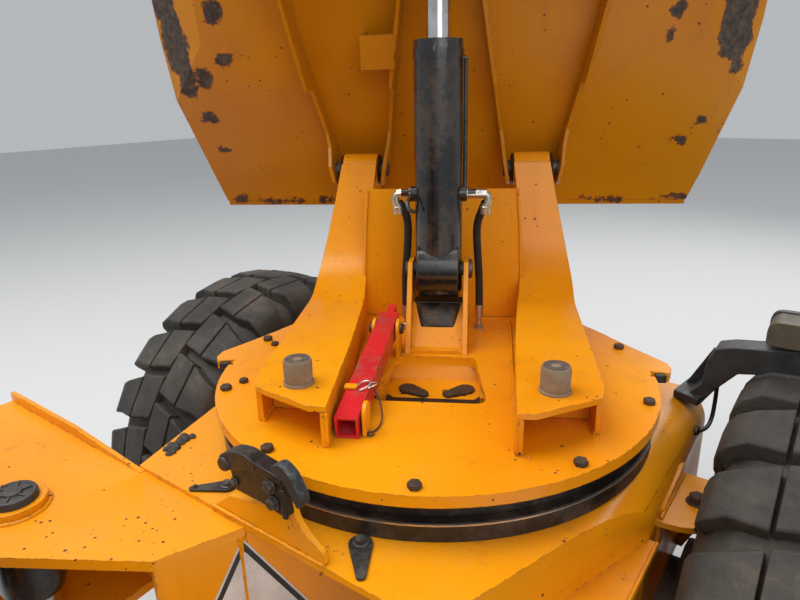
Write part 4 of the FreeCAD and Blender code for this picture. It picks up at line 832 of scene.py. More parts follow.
def rimForm(side):
    # dished wheel disc with rim flanges, seen from outside on +X
    rim = tyreSet["rimR"] - 0.0006
    w = tyreSet["half"]
    # columns: x, radius
    outer = [(w - 0.060, rim), (w - 0.052, rim - 0.001), (w - 0.050, rim - 0.008), (w - 0.058, rim - 0.014),
             (0.110, rim - 0.016), (0.098, rim - 0.020), (0.078, rim - 0.034), (0.060, rim - 0.060), (0.047, 0.165),
             (0.046, 0.130), (0.052, 0.110), (0.053, 0.090), (0.053, 0.0465), (0.041, 0.0465), (0.041, 0.095),
             (0.031, 0.150), (0.048, rim - 0.062), (0.064, rim - 0.028), (0.062, rim - 0.020),
             (-w + 0.062, rim - 0.014), (-w + 0.054, rim - 0.010), (-w + 0.054, rim - 0.002), (-w + 0.060, rim)]
    n = 64
    ang = np.arange(n) * 2 * math.pi / n
    rings = [np.array([(side * x, q * math.sin(a), q * math.cos(a)) for x, q in outer]) for a in ang]
    disc = ringSkin(rings, closed=True)
    if side < 0:
        disc = disc[0], [tuple(reversed(f)) for f in disc[1]]
    nuts = []
    for i in range(8):
        a = i * math.pi / 4
        nuts.append(boltForm((side * 0.0525, 0.0905 * math.sin(a), 0.0905 * math.cos(a)), (side, 0, 0), 0.0105, 1.25,
                             0.8, nut=True))
    hub = turnedForm((side * 0.045, 0, 0), (side, 0, 0), [(0, 0.0455), (0.052, 0.0455), (0.062, 0.038),
                                                          (0.066, 0.012)], 28)
    return disc, joined(nuts), hub


tyreMesh = tyreForm()
for corner in ("front_left", "front_right", "rear_left", "rear_right"):
    lo, hi = (np.array(v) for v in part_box("tyre_" + corner))
    at = (lo + hi) / 2
    side = -1 if corner.endswith("left") else 1
    spinBy = {"front_left": 0.12, "front_right": 0.05, "rear_left": 0.2, "rear_right": 0.3}[corner]
    body = "wheel_" + corner
    place = lambda v: v @ rotX(spinBy).T + at
    v, f = tyreMesh
    if side < 0:
        v, f = v * (-1, 1, 1), [tuple(reversed(face)) for face in f]
    obj = piece("tyre_" + corner + "Tread", (place(v), f), "tyre", body, 0.0035, 38.0, ("tyre_" + corner,))
    disc, nuts, hub = rimForm(side)
    piece("rim_" + corner + "Disc", moved(disc, place), "paint", body, 0.0, 40.0, ("rim_" + corner,))
    piece("wheelNuts_" + corner, moved(nuts, place), "steel", body, 0.0, 30.0)
    piece("hubCap_" + corner, moved(hub, place), "cast", body, 0.0015, 30.0)
print("wheels made")


# ---- web, wall and blank sign under the deck
webSet = {"from": (-0.034, -0.5345), "to": (0.058, -0.300), "low": 0.640, "top": 0.9277}
(wx0, wy0), (wx1, wy1) = webSet["from"], webSet["to"]
along = np.array([wx1 - wx0, wy1 - wy0])
along /= np.linalg.norm(along)
web = prismZ([(wx0, wy0), (wx1, wy1), (wx1 - 0.012, wy1 + 0.004), (wx0 - 0.012, wy0)], webSet["low"], webSet["top"])
wall = blockForm((wx1 - 0.012, wy1, 0.62), (0.330, wy1 + 0.012, webSet["top"]))
sill = blockForm((-0.034, -0.5345, 0.678), (0.325, -0.515, 0.690))
piece("deckWeb", moved(web, onMachine), "paint", "front_frame", 0.0012)
piece("deckWall", moved(wall, onMachine), "paint", "front_frame", 0.0012)
piece("deckSill", moved(sill, onMachine), "paint", "front_frame", 0.0012)
signSet = {"apex": (-0.0364, -0.541, 0.913), "side": 0.250, "layers": ((0.0, 0.0010, "signWhite"),
                                                                    (0.0035, 0.0018, "signPrintAndShadowBlack"),
                                                                    (0.0125, 0.0026, "signWhite"))}
faceOut = np.array([along[1], -along[0], 0.0])
for i, (inset, thick, look) in enumerate(signSet["layers"]):
    side = signSet["side"] - inset * 2 * math.sqrt(3)
    tall = side * math.sqrt(3) / 2
    top = signSet["apex"][2] - inset * 2
    outline = curveIn([(0, top), (-side / 2, top - tall), (side / 2, top - tall)], {0: 0.006, 1: 0.006, 2: 0.006})
    flat = np.array([np.array([signSet["apex"][0], signSet["apex"][1], 0]) + np.array([along[0], along[1], 0]) * s
                     + np.array([0, 0, z]) for s, z in outline])
    n = len(flat)
    v = np.vstack([flat - faceOut * 0.004, flat + faceOut * (thick + 0.0006)])
    f = [tuple(range(n)), tuple(range(n, 2 * n))] + [(k, (k + 1) % n, (k + 1) % n + n, k + n) for k in range(n)]
    piece("warningPlate" + str(i), (onMachine(v), f), look, "front_frame", 0.0, 40.0)
print("web and sign made")

# ---- steering bracket: cap, boss weld, black sleeve under the plate (the ram's black eye, partly painted shade), clods
capSet = {"at": (-0.424, -0.734, 0.9475), "radius": 0.041}
at = onMachine(capSet["at"])
r = capSet["radius"]
cap = [turnedForm(at, (0, 0, 1), [(0, r), (0.009, r), (0.014, r * 0.95), (0.015, r * 0.80), (0.0125, r * 0.76),
                                  (0.0125, r * 0.42), (0.017, r * 0.38), (0.018, r * 0.30)], 36)]
for i in range(6):
    a = i * math.pi / 3 + 0.3
    rib = blockForm((r * 0.34, -0.0022, 0.010), (r * 0.80, 0.0022, 0.0155))
    cap.append((rib[0] @ rotZ(a).T + at, rib[1]))
piece("bossCap", joined(cap), "plastic", "front_frame", 0.0008, 40.0)
ring = weldForm(roundLine(onMachine((-0.424, -0.734, 0.9325)), 0.0560, 60), 0.0042, 5)
piece("bossWeld", ring, "paint", "front_frame", 0.0, 60.0)
# black sleeve round the stub: stands for the steering ram's black eye and, in part, painted shade under the plate
sleeve = joined([turnedForm(onMachine((-0.424, -0.734, 0.752)), (0, 0, 1), [(0, 0.052), (0.030, 0.060), (0.115, 0.060),
                                                                          (0.125, 0.060), (0.159, 0.056)], 32)])
piece("steeringDarkSleeve", sleeve, "ramBlack", "front_frame", 0.001, 40.0)
rng = np.random.default_rng(11)
clods = []
for k in range(26):
    t = rng.random()
    p = np.array([-0.336, -0.488, 0.941]) * (1 - t) + np.array([-0.362, -0.405, 0.941]) * t
    p[:2] += rng.normal(0, 0.006, 2)
    q = 0.004 + 0.007 * rng.random()
    lump = turnedForm((0, 0, 0), (0, 0, 1), [(-0.3 * q, q * 0.9), (0.25 * q, q), (0.7 * q, q * 0.62),
                                             (0.85 * q, q * 0.2)], 7)
    clods.append((lump[0] * (1 + rng.normal(0, 0.14, lump[0].shape)) @ rotZ(rng.random() * 6).T + p, lump[1]))
v, f = joined(clods)
piece("mudClods", (onMachine(v), f), "cast", "front_frame", 0.0, 50.0)

# ---- swivel latch: greasy casting with hook, ribs and nose on the left, near-black handle with painted sheen on its top on the right
latchSet = {"back": -0.5335, "plate": -0.546}
b, p = latchSet["back"], latchSet["plate"]
plate = prismY(curveIn([(-0.041, 1.064), (-0.034, 1.014), (0.030, 1.014), (0.084, 1.008), (0.094, 1.016),
                        (0.087, 1.078)],
                       {1: 0.008, 3: 0.008}), p, b)
rib = prismY([(-0.015, 1.070), (0.084, 1.068), (0.088, 1.080), (0.004, 1.090), (-0.013, 1.083)], p - 0.004, p + 0.026)
rim = prismY([(0.082, 1.062), (0.092, 1.062), (0.095, 1.012), (0.085, 1.010)], p - 0.006, p)
hook = prismY(curveIn([(-0.060, 1.072), (-0.060, 1.052), (-0.040, 1.050), (-0.010, 1.060), (0.030, 1.074),
                       (0.031, 1.086),
                       (0.006, 1.095), (-0.028, 1.090)], {0: 0.008, 1: 0.006, 2: 0.005, 5: 0.006, 6: 0.012,
                                                          7: 0.010}), p - 0.005, p + 0.024)
nose = turnedForm((-0.047, p - 0.010, 1.060), (0, 1, 0), [(0, 0.011), (0.004, 0.013), (0.030, 0.013), (0.034, 0.011)],
                  20)
handle = prismY(curveIn([(0.068, 1.098), (0.086, 1.107), (0.108, 1.096), (0.126, 1.066), (0.129, 1.048), (0.119, 1.042),
                         (0.110, 1.056), (0.092, 1.080), (0.072, 1.087)], {0: 0.005, 1: 0.006, 2: 0.010, 4: 0.006,
                                                                          5: 0.005, 6: 0.008}), p - 0.006, p + 0.015)
piece("latchHandle", joined([moved(handle, onMachine)]), "armGreySheen", "front_frame", 0.0018, 34.0)
piece("latchCasting", joined((plate, rib, rim, hook, nose), onMachine), "grease", "front_frame", 0.0022,
      34.0, ("swivel_latch",))
bolts = [boltForm(onMachine((x, p - 0.001, z)), (0, -1, 0), r, 1.25, 0.6, phase=a)
         for x, z, a, r in ((0.057, 1.057, 0.2, 0.0105), (0.062, 1.028, 0.5, 0.0105), (-0.030, 1.030, 0.1, 0.0070))]
piece("latchBolts", joined(bolts), "steel", "front_frame", 0.0006, 34.0)
# curved fin beside the latch and spatter of weld metal at its foot
fin = prismY(curveIn([(0.078, 1.030), (0.090, 1.030), (0.094, 1.004), (0.112, 0.982), (0.146, 0.962), (0.150, 0.9405),
                      (0.100, 0.9405), (0.082, 1.000)], {2: 0.010, 3: 0.016, 4: 0.006, 7: 0.02}), -0.5335, -0.5215)
piece("latchFin", moved(fin, onMachine), "paint", "front_frame", 0.0015)
seam = [weldForm(onMachine([(-0.118, -0.5345, 0.942), (0.150, -0.5345, 0.942)]), 0.0032, 7)]
for k in range(14):
    q = 0.0012 + 0.0016 * rng.random()
    spot = onMachine((0.10 + 0.09 * rng.random(), -0.515 + 0.02 * rng.random(), 0.9402))
    seam.append(turnedForm(spot, (0, 0, 1), [(0, q), (q * 0.6, q * 0.8), (q, q * 0.3)], 6))
piece("latchWeld", joined(seam), "paint", "front_frame", 0.0, 60.0)


# ---- small parts on the deck
def keeperForm(tail, head, wide, narrow, thick=0.006):
    # teardrop plate: round head of one radius, pointed tail of another, as one outline
    tail, head = np.array(tail, float), np.array(head, float)
    d = head - tail
    turnTo = math.atan2(d[1], d[0])
    a = np.linspace(-1.75, 1.75, 13) + turnTo
    c = np.linspace(1.9, 4.38, 7) + turnTo
    outline = [(head[0] + wide * math.cos(t), head[1] + wide * math.sin(t)) for t in a]
    outline += [(tail[0] + narrow * math.cos(t), tail[1] + narrow * math.sin(t)) for t in c]
    return prismZ(outline, 0.9402, 0.9402 + thick)


keepers = [keeperForm((-0.187, -0.527), (-0.140, -0.485), 0.016, 0.006),
           keeperForm((0.210, -0.519), (0.165, -0.465), 0.020, 0.008)]
piece("deckKeepers", joined(keepers, onMachine), "black", "front_frame", 0.0010, 34.0)
heads = [boltForm(onMachine((-0.140, -0.485, 0.946)), (0, 0, 1), 0.0085, 1.3, 0.7),
         boltForm(onMachine((-0.183, -0.523, 0.946)), (0, 0, 1), 0.0045, 0, 0.9),
         boltForm(onMachine((0.165, -0.465, 0.946)), (0, 0, 1), 0.0095, 1.4, 0.8, phase=0.9)]
piece("keeperBolts", joined(heads), "steel", "front_frame", 0.0005, 34.0)

# ---- turntable bolts, ring bolts and the light line between the ring halves
ringSet = {"boltRadius": 0.458, "bolts": 10, "headRadius": 0.0125, "start": -90.0}
heads = []
for k in range(ringSet["bolts"]):
    a = math.radians(ringSet["start"] + 36.0 * k)
    at = onSwivel((ringSet["boltRadius"] * math.cos(a), ringSet["boltRadius"] * math.sin(a), layout["tableTop"]))
    heads.append(boltForm(at, (0, 0, 1), ringSet["headRadius"], 0, 0.72, phase=k * 0.7))
for x, y in ((-0.407, 0.110), (-0.410, -0.104)):
    heads.append(boltForm(onSwivel((x, y, layout["tableTop"])), (0, 0, 1), 0.0105, 0, 0.7, phase=x))
piece("tableBolts", joined(heads), "boltDark", "swivel", 0.0012, 34.0)
gapZ = float(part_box("slew_ring_upper")[0][2])
band = turnedForm(onMachine((0, 0, gapZ - 0.0045)), (0, 0, 1),
                  [(0, 0.4706), (0, 0.4722), (0.003, 0.4722), (0.003, 0.4706)], 96)
v, f = ringSkin([band[0][i * 96:(i + 1) * 96] for i in range(4)], closed=True)
piece("ringSeal", (v, f), "zinc", "front_frame", 0.0, 40.0)
print("ring and deck parts made")

# ---- rubber buffers
bufferSet = {"x": 0.235, "y": -0.265, "radius": 0.027, "height": 0.050}
parts, tops, rims = [], [], []
for side in (1, -1):
    at = onSwivel((side * bufferSet["x"], bufferSet["y"], layout["footTop"]))
    r, h = bufferSet["radius"], bufferSet["height"]
    parts.append(turnedForm(at, (0, 0, 1), [(0.0004, r * 0.92), (0.008, r * 0.97), (h * 0.55, r), (h * 0.9, r * 0.99),
                                            (h - 0.0008, r * 0.93)], 36))
    tops.append(turnedForm(at, (0, 0, 1), [(h - 0.002, r * 0.88), (h, r * 0.84), (h, r * 0.34),
                                           (h - 0.010, r * 0.30)], 36))
    rims.append(turnedForm(at, (0, 0, 1), [(0.0002, r * 1.08), (0.004, r * 1.08), (0.0055, r * 0.98),
                                           (0.004, r * 0.90)], 36))
for name, forms2, look in (("bufferBodies", parts, "buffer"), ("bufferTops", tops, "bufferTop"),
                           ("bufferRims", rims, "buffer")):
    piece(name, joined(forms2), look, "swivel", 0.0, 40.0,
          ("rubber_buffers",) if name == "bufferBodies" else ())

# ---- hoses, elbows and pipe at the tipping ram
hoseSet = {"radius": 0.0098}
leftRun = [(-0.089, 0.251, 1.085), (-0.089, 0.250, 1.130), (-0.088, 0.246, 1.190), (-0.080, 0.235, 1.265),
           (-0.076, 0.222, 1.320), (-0.082, 0.212, 1.358), (-0.096, 0.206, 1.378)]
rightRun = [(0.102, 0.262, 1.070), (0.102, 0.260, 1.120), (0.100, 0.252, 1.190), (0.094, 0.240, 1.265),
            (0.092, 0.226, 1.320), (0.104, 0.212, 1.356), (0.112, 0.204, 1.378)]
hoses = []
for run in (leftRun, rightRun):
    hoses.append(tubeForm(smoothLine([onSwivel(q) for q in run], 54), hoseSet["radius"], 14))
piece("ramHoses", joined(hoses), "hose", "swivel", 0.0, 50.0, ("ram_hoses",))
ends = []
for x, y in ((-0.089, 0.251), (0.102, 0.262)):
    low = onSwivel((x, y, layout["tableTop"]))
    ends += [turnedForm(low, (0, 0, 1), [(0, 0.0135), (0.003, 0.0135), (0.003, 0.0110), (0.014, 0.0110)], 6, 0.4),
             turnedForm(low, (0, 0, 1), [(0.013, 0.0095), (0.016, 0.0065), (0.031, 0.0065), (0.032, 0.0108),
                                         (0.050, 0.0108), (0.060, 0.0116), (0.066, 0.0112)], 20)]
for x0, x1, y in ((-0.058, -0.099, 0.205), (0.058, 0.113, 0.203)):
    side = np.sign(x0)
    start = onSwivel((x0, y, 1.398))
    axis = onSwivel((x0 + side, y, 1.398)) - start
    reach = abs(x1 - x0)
    ends += [turnedForm(start, axis, [(0, 0.0150), (0.012, 0.0150), (0.013, 0.0120), (reach - 0.008, 0.0120),
                                      (reach + 0.002, 0.0105)], 6, 0.2)]
    bend = [(x1 - side * 0.012, y, 1.398), (x1 + side * 0.004, y, 1.396), (x1 + side * 0.006, y, 1.384),
            (x1, y + 0.001, 1.362)]
    ends.append(tubeForm(smoothLine([onSwivel(q) for q in bend], 16), 0.0095, 12))
    cuff = onSwivel((x1 * 0.985, y + 0.004, 1.350))
    lift = onSwivel((x1, y, 1.378)) - cuff
    ends.append(turnedForm(cuff, lift, [(0, 0.0125), (0.018, 0.0128), (0.020, 0.0110), (0.026, 0.0110)], 16))
piece("hoseFittings", joined(ends), "zinc", "swivel", 0.0005, 34.0)
ports = []
for x0, x1 in ((-0.050, -0.068), (0.050, 0.068)):
    start = onSwivel((x0, 0.205, 1.398))
    axis = onSwivel((x0 + np.sign(x0), 0.205, 1.398)) - start
    ports.append(turnedForm(start, axis, [(0, 0.019), (abs(x1 - x0) - 0.002, 0.019), (abs(x1 - x0), 0.017)], 20))
ports.append(tubeForm(smoothLine([onSwivel(q) for q in ((-0.066, 0.190, 1.392), (-0.074, 0.176, 1.384),
                                                        (-0.068, 0.160, 1.364),
                                                         (-0.052, 0.158, 1.362))], 20), 0.0050, 10))
piece("ramPorts", joined(ports), "ramBlack", "ram_barrel", 0.0006, 34.0)
print("hoses made")

# ---- ram foot: rounded end of the barrel's eye, grease heap on the dirt plate
footY, footZ, clevisR = layout["ramFootY"], layout["ramFootZ"], 0.071
turns = np.linspace(-math.pi, math.pi, 33)[:-1]
clevis = prismX([(footY + clevisR * math.cos(t), footZ + clevisR * math.sin(t)) for t in turns], -0.050, 0.050)
piece("ramClevis", moved(clevis, onSwivel), "ramBlack", "ram_barrel", 0.003, 34.0)
rng = np.random.default_rng(21)
u, t = np.meshgrid(np.linspace(0, 1, 22), np.linspace(-1, 1, 20), indexing="ij")
heap = 0.010 * np.sqrt(np.clip(1 - t ** 2, 0, 1)) * np.sin(np.pi * u) ** 0.7 + 0.0015 * rng.random(u.shape)
heap[0], heap[-1] = 0, 0
heap[:, 0], heap[:, -1] = 0, 0
wide = 0.057 * (0.72 + 0.28 * u)
plateY, plateZ = 0.140 + (0.1875 - 0.140) * u, 1.074 + (1.1235 - 1.074) * u
top = np.c_[(t * wide).ravel(), (plateY - heap * 0.7).ravel(), (plateZ + 0.0045 + heap * 0.7).ravel()]
low = np.c_[(t * wide).ravel(), (plateY + 0.003).ravel(), (plateZ - 0.004).ravel()]
rows, cols = u.shape
grid = [(i * cols + k, i * cols + k + 1, (i + 1) * cols + k + 1, (i + 1) * cols + k)
        for i in range(rows - 1) for k in range(cols - 1)]
count = rows * cols
loop = [k for k in range(cols)] + [i * cols + cols - 1 for i in range(1, rows)]
loop += [(rows - 1) * cols + k for k in range(cols - 2, -1, -1)] + [i * cols for i in range(rows - 2, 0, -1)]
sides = [(loop[k], loop[(k + 1) % len(loop)], loop[(k + 1) % len(loop)] + count,
          loop[k] + count) for k in range(len(loop))]
v, f = np.vstack([top, low]), grid + [tuple(q + count for q in reversed(g)) for g in grid] + sides
piece("greaseHeap", (onSwivel(v), f), "greaseDark", "swivel", 0.0, 50.0)

# ---- well in the turntable: black sheet painted as the shadow along its near edge, and two steel blades over the slots
gap = prismZ([(-0.126, 0.004), (-0.090, -0.038), (0.092, -0.038), (0.116, -0.004), (0.136, -0.090), (0.136, -0.170),
              (-0.150, -0.170), (-0.150, -0.090)], 0.9746, 0.9762)
piece("wellPaintedShadow", moved(gap, onSwivel), "signPrintAndShadowBlack", "swivel", 0.0, 40.0)
blades = []
for tail, head in (((-0.022, -0.024), (-0.060, 0.000)), ((0.034, -0.022), (0.072, 0.004))):
    shape = keeperForm(tail, head, 0.0210, 0.0120, 0.009)
    blades.append((shape[0] - (0, 0, 0.9402 - 0.9746), shape[1]))
piece("wellBlades", joined(blades, onSwivel), "boltDark", "swivel", 0.0014, 40.0)

# ---- welds along the towers and the web, spill at the foot plates
seams = []
for side in (1, -1):
    seams.append(weldForm(onSwivel([(side * 0.2130, 0.3485, 1.040), (side * 0.2140, 0.3485, 1.140),
                                    (side * 0.2055, 0.3485, 1.300),
                                    (side * 0.1975, 0.3485, 1.384)]), 0.0036, 31))
    seams.append(weldForm(onSwivel([(side * 0.165, -0.352, 1.0365), (side * 0.186, 0.30, 1.0365)]), 0.0034, 32))
    seams.append(weldForm(onSwivel([(side * 0.308, -0.272, 1.0365), (side * 0.308, 0.24, 1.0365)]), 0.0034, 33))
    seams.append(weldForm(onSwivel([(side * 0.164, -0.3535, 1.040), (side * 0.164, -0.3535, 1.102)]), 0.0030, 34))
    seams.append(weldForm(onSwivel([(side * 0.062, 0.078, 1.0365), (side * 0.062, 0.31, 1.0365)]), 0.0030, 35))
    for k in range(9):
        q = 0.0014 + 0.002 * rng.random()
        spot = onSwivel((side * (0.16 + 0.03 * rng.random()), -0.362 + 0.02 * rng.random(), 1.0343))
        seams.append(turnedForm(spot, (0, 0, 1), [(0, q), (q * 0.6, q * 0.8), (q, q * 0.3)], 6))
piece("towerWelds", joined(seams), "paint", "swivel", 0.0, 60.0)

fills = []
for side in (1, -1):
    outline = [(0.180, 1.0345), (0.2165, 1.0345), (0.2170, 1.14), (0.2150, 1.20), (0.2080, 1.30), (0.2000, 1.3875),
               (0.180, 1.3875)]
    fills.append(prismY([(side * x, z) for x, z in outline], 0.3505, 0.3615))
piece("webEdges", joined(fills, onSwivel), "paint", "swivel", 0.0, 34.0)
sump = blockForm((-0.0605, 0.186, 1.096), (0.0605, 0.232, 1.131))
piece("greaseBank", moved(sump, onSwivel), "greaseDark", "swivel", 0.004, 40.0)

# ---- prow: plate edge out to the notched tips
tips = []
for side in (1, -1):
    outline = [(0.455, -0.030), (0.4765, 0.000), (0.4745, 0.014), (0.516, 0.006), (0.526, 0.029), (0.525, 0.060),
               (0.470, 0.147),
               (0.369, 0.314), (0.330, 0.352), (0.420, 0.120)]
    tips.append(prismZ([(side * x, y) for x, y in outline], 1.0126, 1.0345))
piece("prowTips", joined(tips, onSwivel), "paint", "swivel", 0.0010, 34.0)
stops = [blockForm((x0, -0.004, 1.014), (x1, 0.012, 1.032)) for x0, x1 in ((0.486, 0.508), (-0.508, -0.486))]
piece("prowStops", joined(stops, onSwivel), "plastic", "swivel", 0.0015, 34.0)

# ---- prop: pins, tag, clip and lanyard
propSet = {"foot": (-0.136, -0.322, 1.0565), "rise": math.radians(6.5), "turn": math.radians(-3.0), "pivot": 0.395}


def onProp(p):
    # prop's own frame: +Y up its length, +Z out of its top face
    return onSwivel(np.asarray(p, float) @ rotX(propSet["rise"]).T @ rotZ(propSet["turn"]).T + np.array(propSet["foot"]))


across = onProp((1, 0, 0)) - onProp((0, 0, 0))
pins = [turnedForm(onProp((side * 0.0345, propSet["pivot"], 0)), side * across,
                   [(0, 0.0125), (0.004, 0.0125), (0.006, 0.010), (0.0062, 0.003)], 20) for side in (1, -1)]
piece("propPinEnds", joined(pins), "black", "swivel", 0.0, 40.0)
tagAt = np.array([0.0, 0.100, 0.0225])
clip = tubeForm(smoothLine([onProp(tagAt + q) for q in ((0.006, -0.012, 0.002), (0.020, -0.006, 0.006),
                                                        (0.026, 0.010, 0.008),
                                                        (0.014, 0.018, 0.006), (0.000, 0.010, 0.004),
                                                        (-0.002, -0.006, 0.002))],
                           30), 0.0017, 8)
ring = tubeForm(smoothLine([onProp(tagAt + q) for q in ((0.020, 0.000, 0.000), (0.034, 0.006, 0.004),
                                                        (0.036, 0.018, 0.002),
                                                        (0.022, 0.020, 0.000))], 20), 0.0014, 8)
piece("propClip", joined([clip, ring]), "zinc", "swivel", 0.0, 40.0)
tag = blockForm((-0.026, -0.009, 0.0005), (-0.001, 0.005, 0.0060))
piece("propTag", joined([moved((tag[0] + tagAt, tag[1]), onProp)]), "paint", "swivel", 0.0010, 34.0)
line = smoothLine([onSwivel(q) for q in ((-0.116, -0.212, 1.093), (-0.099, -0.214, 1.086), (-0.084, -0.232, 1.050),
                                         (-0.080, -0.268, 1.0375), (-0.090, -0.300, 1.0375), (-0.101, -0.302, 1.040),
                                         (-0.098, -0.318, 1.0375), (-0.088, -0.306, 1.0375))], 48)
v, f = tubeForm(line, 0.0016, 8)
piece("propLanyard", (v, f), "plastic", "swivel", 0.0, 50.0)

# ---- lamp arm, lamp and cable
armSet = {"near": 0.345, "far": 0.408}
n0, n1 = armSet["near"], armSet["far"]
arm = [prismY([(0.497, 0.985), (0.531, 0.985), (0.566, 1.028), (0.680, 1.052), (0.768, 1.060), (0.768, 1.110),
               (0.670, 1.104),
               (0.548, 1.087), (0.516, 1.077), (0.503, 1.046)], n0, n1),
       prismY([(0.462, 0.9402), (0.503, 0.9402), (0.531, 0.986), (0.496, 0.986)], n0 + 0.002, n1 - 0.004),
       prismZ([(0.441, 0.345), (0.498, 0.322), (0.505, 0.350), (0.502, 0.440), (0.455, 0.432)], 0.9402, 0.958),
       prismY([(0.452, 0.950), (0.500, 0.950), (0.516, 1.030), (0.506, 1.060)], n1 - 0.006, n1)]
piece("lampArmForm", joined(arm, onMachine), "armGreySheen", "front_frame", 0.0025, 30.0, ("lamp_arm",))
lampSet = {"x0": 0.606, "x1": 0.756, "y0": 0.335, "y1": 0.430, "low": 1.108, "top": 1.166}


def lampOutline(grow):
    q = lampSet
    return curveIn([(q["x0"] - grow, q["low"] - grow), (q["x1"] + grow, q["low"] - grow),
                    (q["x1"] + grow, q["top"] + grow),
                    (q["x0"] - grow, q["top"] + grow)], {0: 0.012, 1: 0.012, 2: 0.026 + grow, 3: 0.026 + grow}, 7)


for name, grow, y0, y1, look in (("lampBody", -0.002, lampSet["y0"], lampSet["y1"] - 0.012, "olive"),
                                 ("lampRim", 0.001, lampSet["y1"] - 0.022, lampSet["y1"] - 0.004, "plastic"),
                                 ("lampGlass", -0.006, lampSet["y1"] - 0.006, lampSet["y1"], "lensClear")):
    v, f = prismY(lampOutline(grow), y0, y1)
    piece(name, (onMachine(v), f), look, "front_frame", 0.002, 40.0,
          ("headlamp",) if name == "lampBody" else ())
cable = [(0.509, 0.317, 0.884), (0.520, 0.350, 0.876), (0.522, 0.400, 0.880), (0.520, 0.425, 0.915),
         (0.522, 0.405, 0.965),
         (0.524, 0.385, 1.000)]
v, f = tubeForm(smoothLine([onMachine(q) for q in cable], 40), 0.0048, 10)
piece("lampCable", (v, f), "plastic", "front_frame", 0.0, 50.0)
grommet = turnedForm(onMachine((0.5035, 0.317, 0.884)), (1, 0, 0), [(0, 0.012), (0.005, 0.012), (0.009, 0.007)], 20)
piece("cableGrommet", grommet, "plastic", "front_frame", 0.0, 40.0)

# ---- lashing lug on the deck's right side, with its mirror image
lugs, lugBolts, lugWelds = [], [], []
for side in (1, -1):
    tab = curveIn([(0.500, 0.200), (0.586, 0.200), (0.594, 0.036), (0.560, 0.010), (0.500, 0.000)],
                  {1: 0.02, 2: 0.03, 3: 0.02})
    lugs.append(prismZ([(side * x, y) for x, y in tab], 0.828, 0.840))
    v, f = prismY([(0.500, 0.716), (0.520, 0.716), (0.580, 0.829), (0.500, 0.829)], 0.150, 0.162)
    lugs.append((v * (side, 1, 1), f))
    v, f = prismX([(0.012, 0.770), (0.195, 0.770), (0.195, 0.866), (0.170, 0.872), (0.030, 0.850)], 0.500, 0.512)
    lugs.append((v * (side, 1, 1), f))
    lugBolts.append(boltForm(onMachine((side * 0.556, 0.105, 0.840)), (0, 0, 1), 0.0165, 1.25, 0.75))
    lugWelds.append(weldForm(onMachine([(side * 0.512, 0.195, 0.842), (side * 0.512, 0.010, 0.842)]), 0.0035, 41))
piece("lashingLugs", joined(lugs, onMachine), "paint", "front_frame", 0.0015, 34.0)
piece("lashingBolts", joined(lugBolts), "boltDark", "front_frame", 0.0010, 34.0)
piece("lashingWelds", joined(lugWelds), "paint", "front_frame", 0.0, 60.0)
flange = weldForm(onMachine([(0.352, -0.5345, 0.826), (0.521, -0.2505, 0.826), (0.521, -0.045, 0.826)]), 0.0035, 42)
piece("gussetWeld", flange, "paint", "front_frame", 0.0, 60.0)

# ---- towers with their covers bent round a wide radius
# columns: share of the path, inner edge, outer edge
towerEdges = np.array([(0.0, 0.163, 0.195), (0.072, 0.166, 0.3255), (0.30, 0.177, 0.333), (0.55, 0.196, 0.341),
                       (0.68, 0.211, 0.3500), (0.78, 0.214, 0.336), (0.90, 0.204, 0.310), (1.0, 0.192, 0.291)])
towerPath = curveIn([(-0.354, 1.116), (0.390, 1.116), (0.478, 1.443)], {1: 0.17}, 15)
towerPath = evenLine(np.c_[np.array(towerPath), np.zeros(len(towerPath))], 0.022)[:, :2]


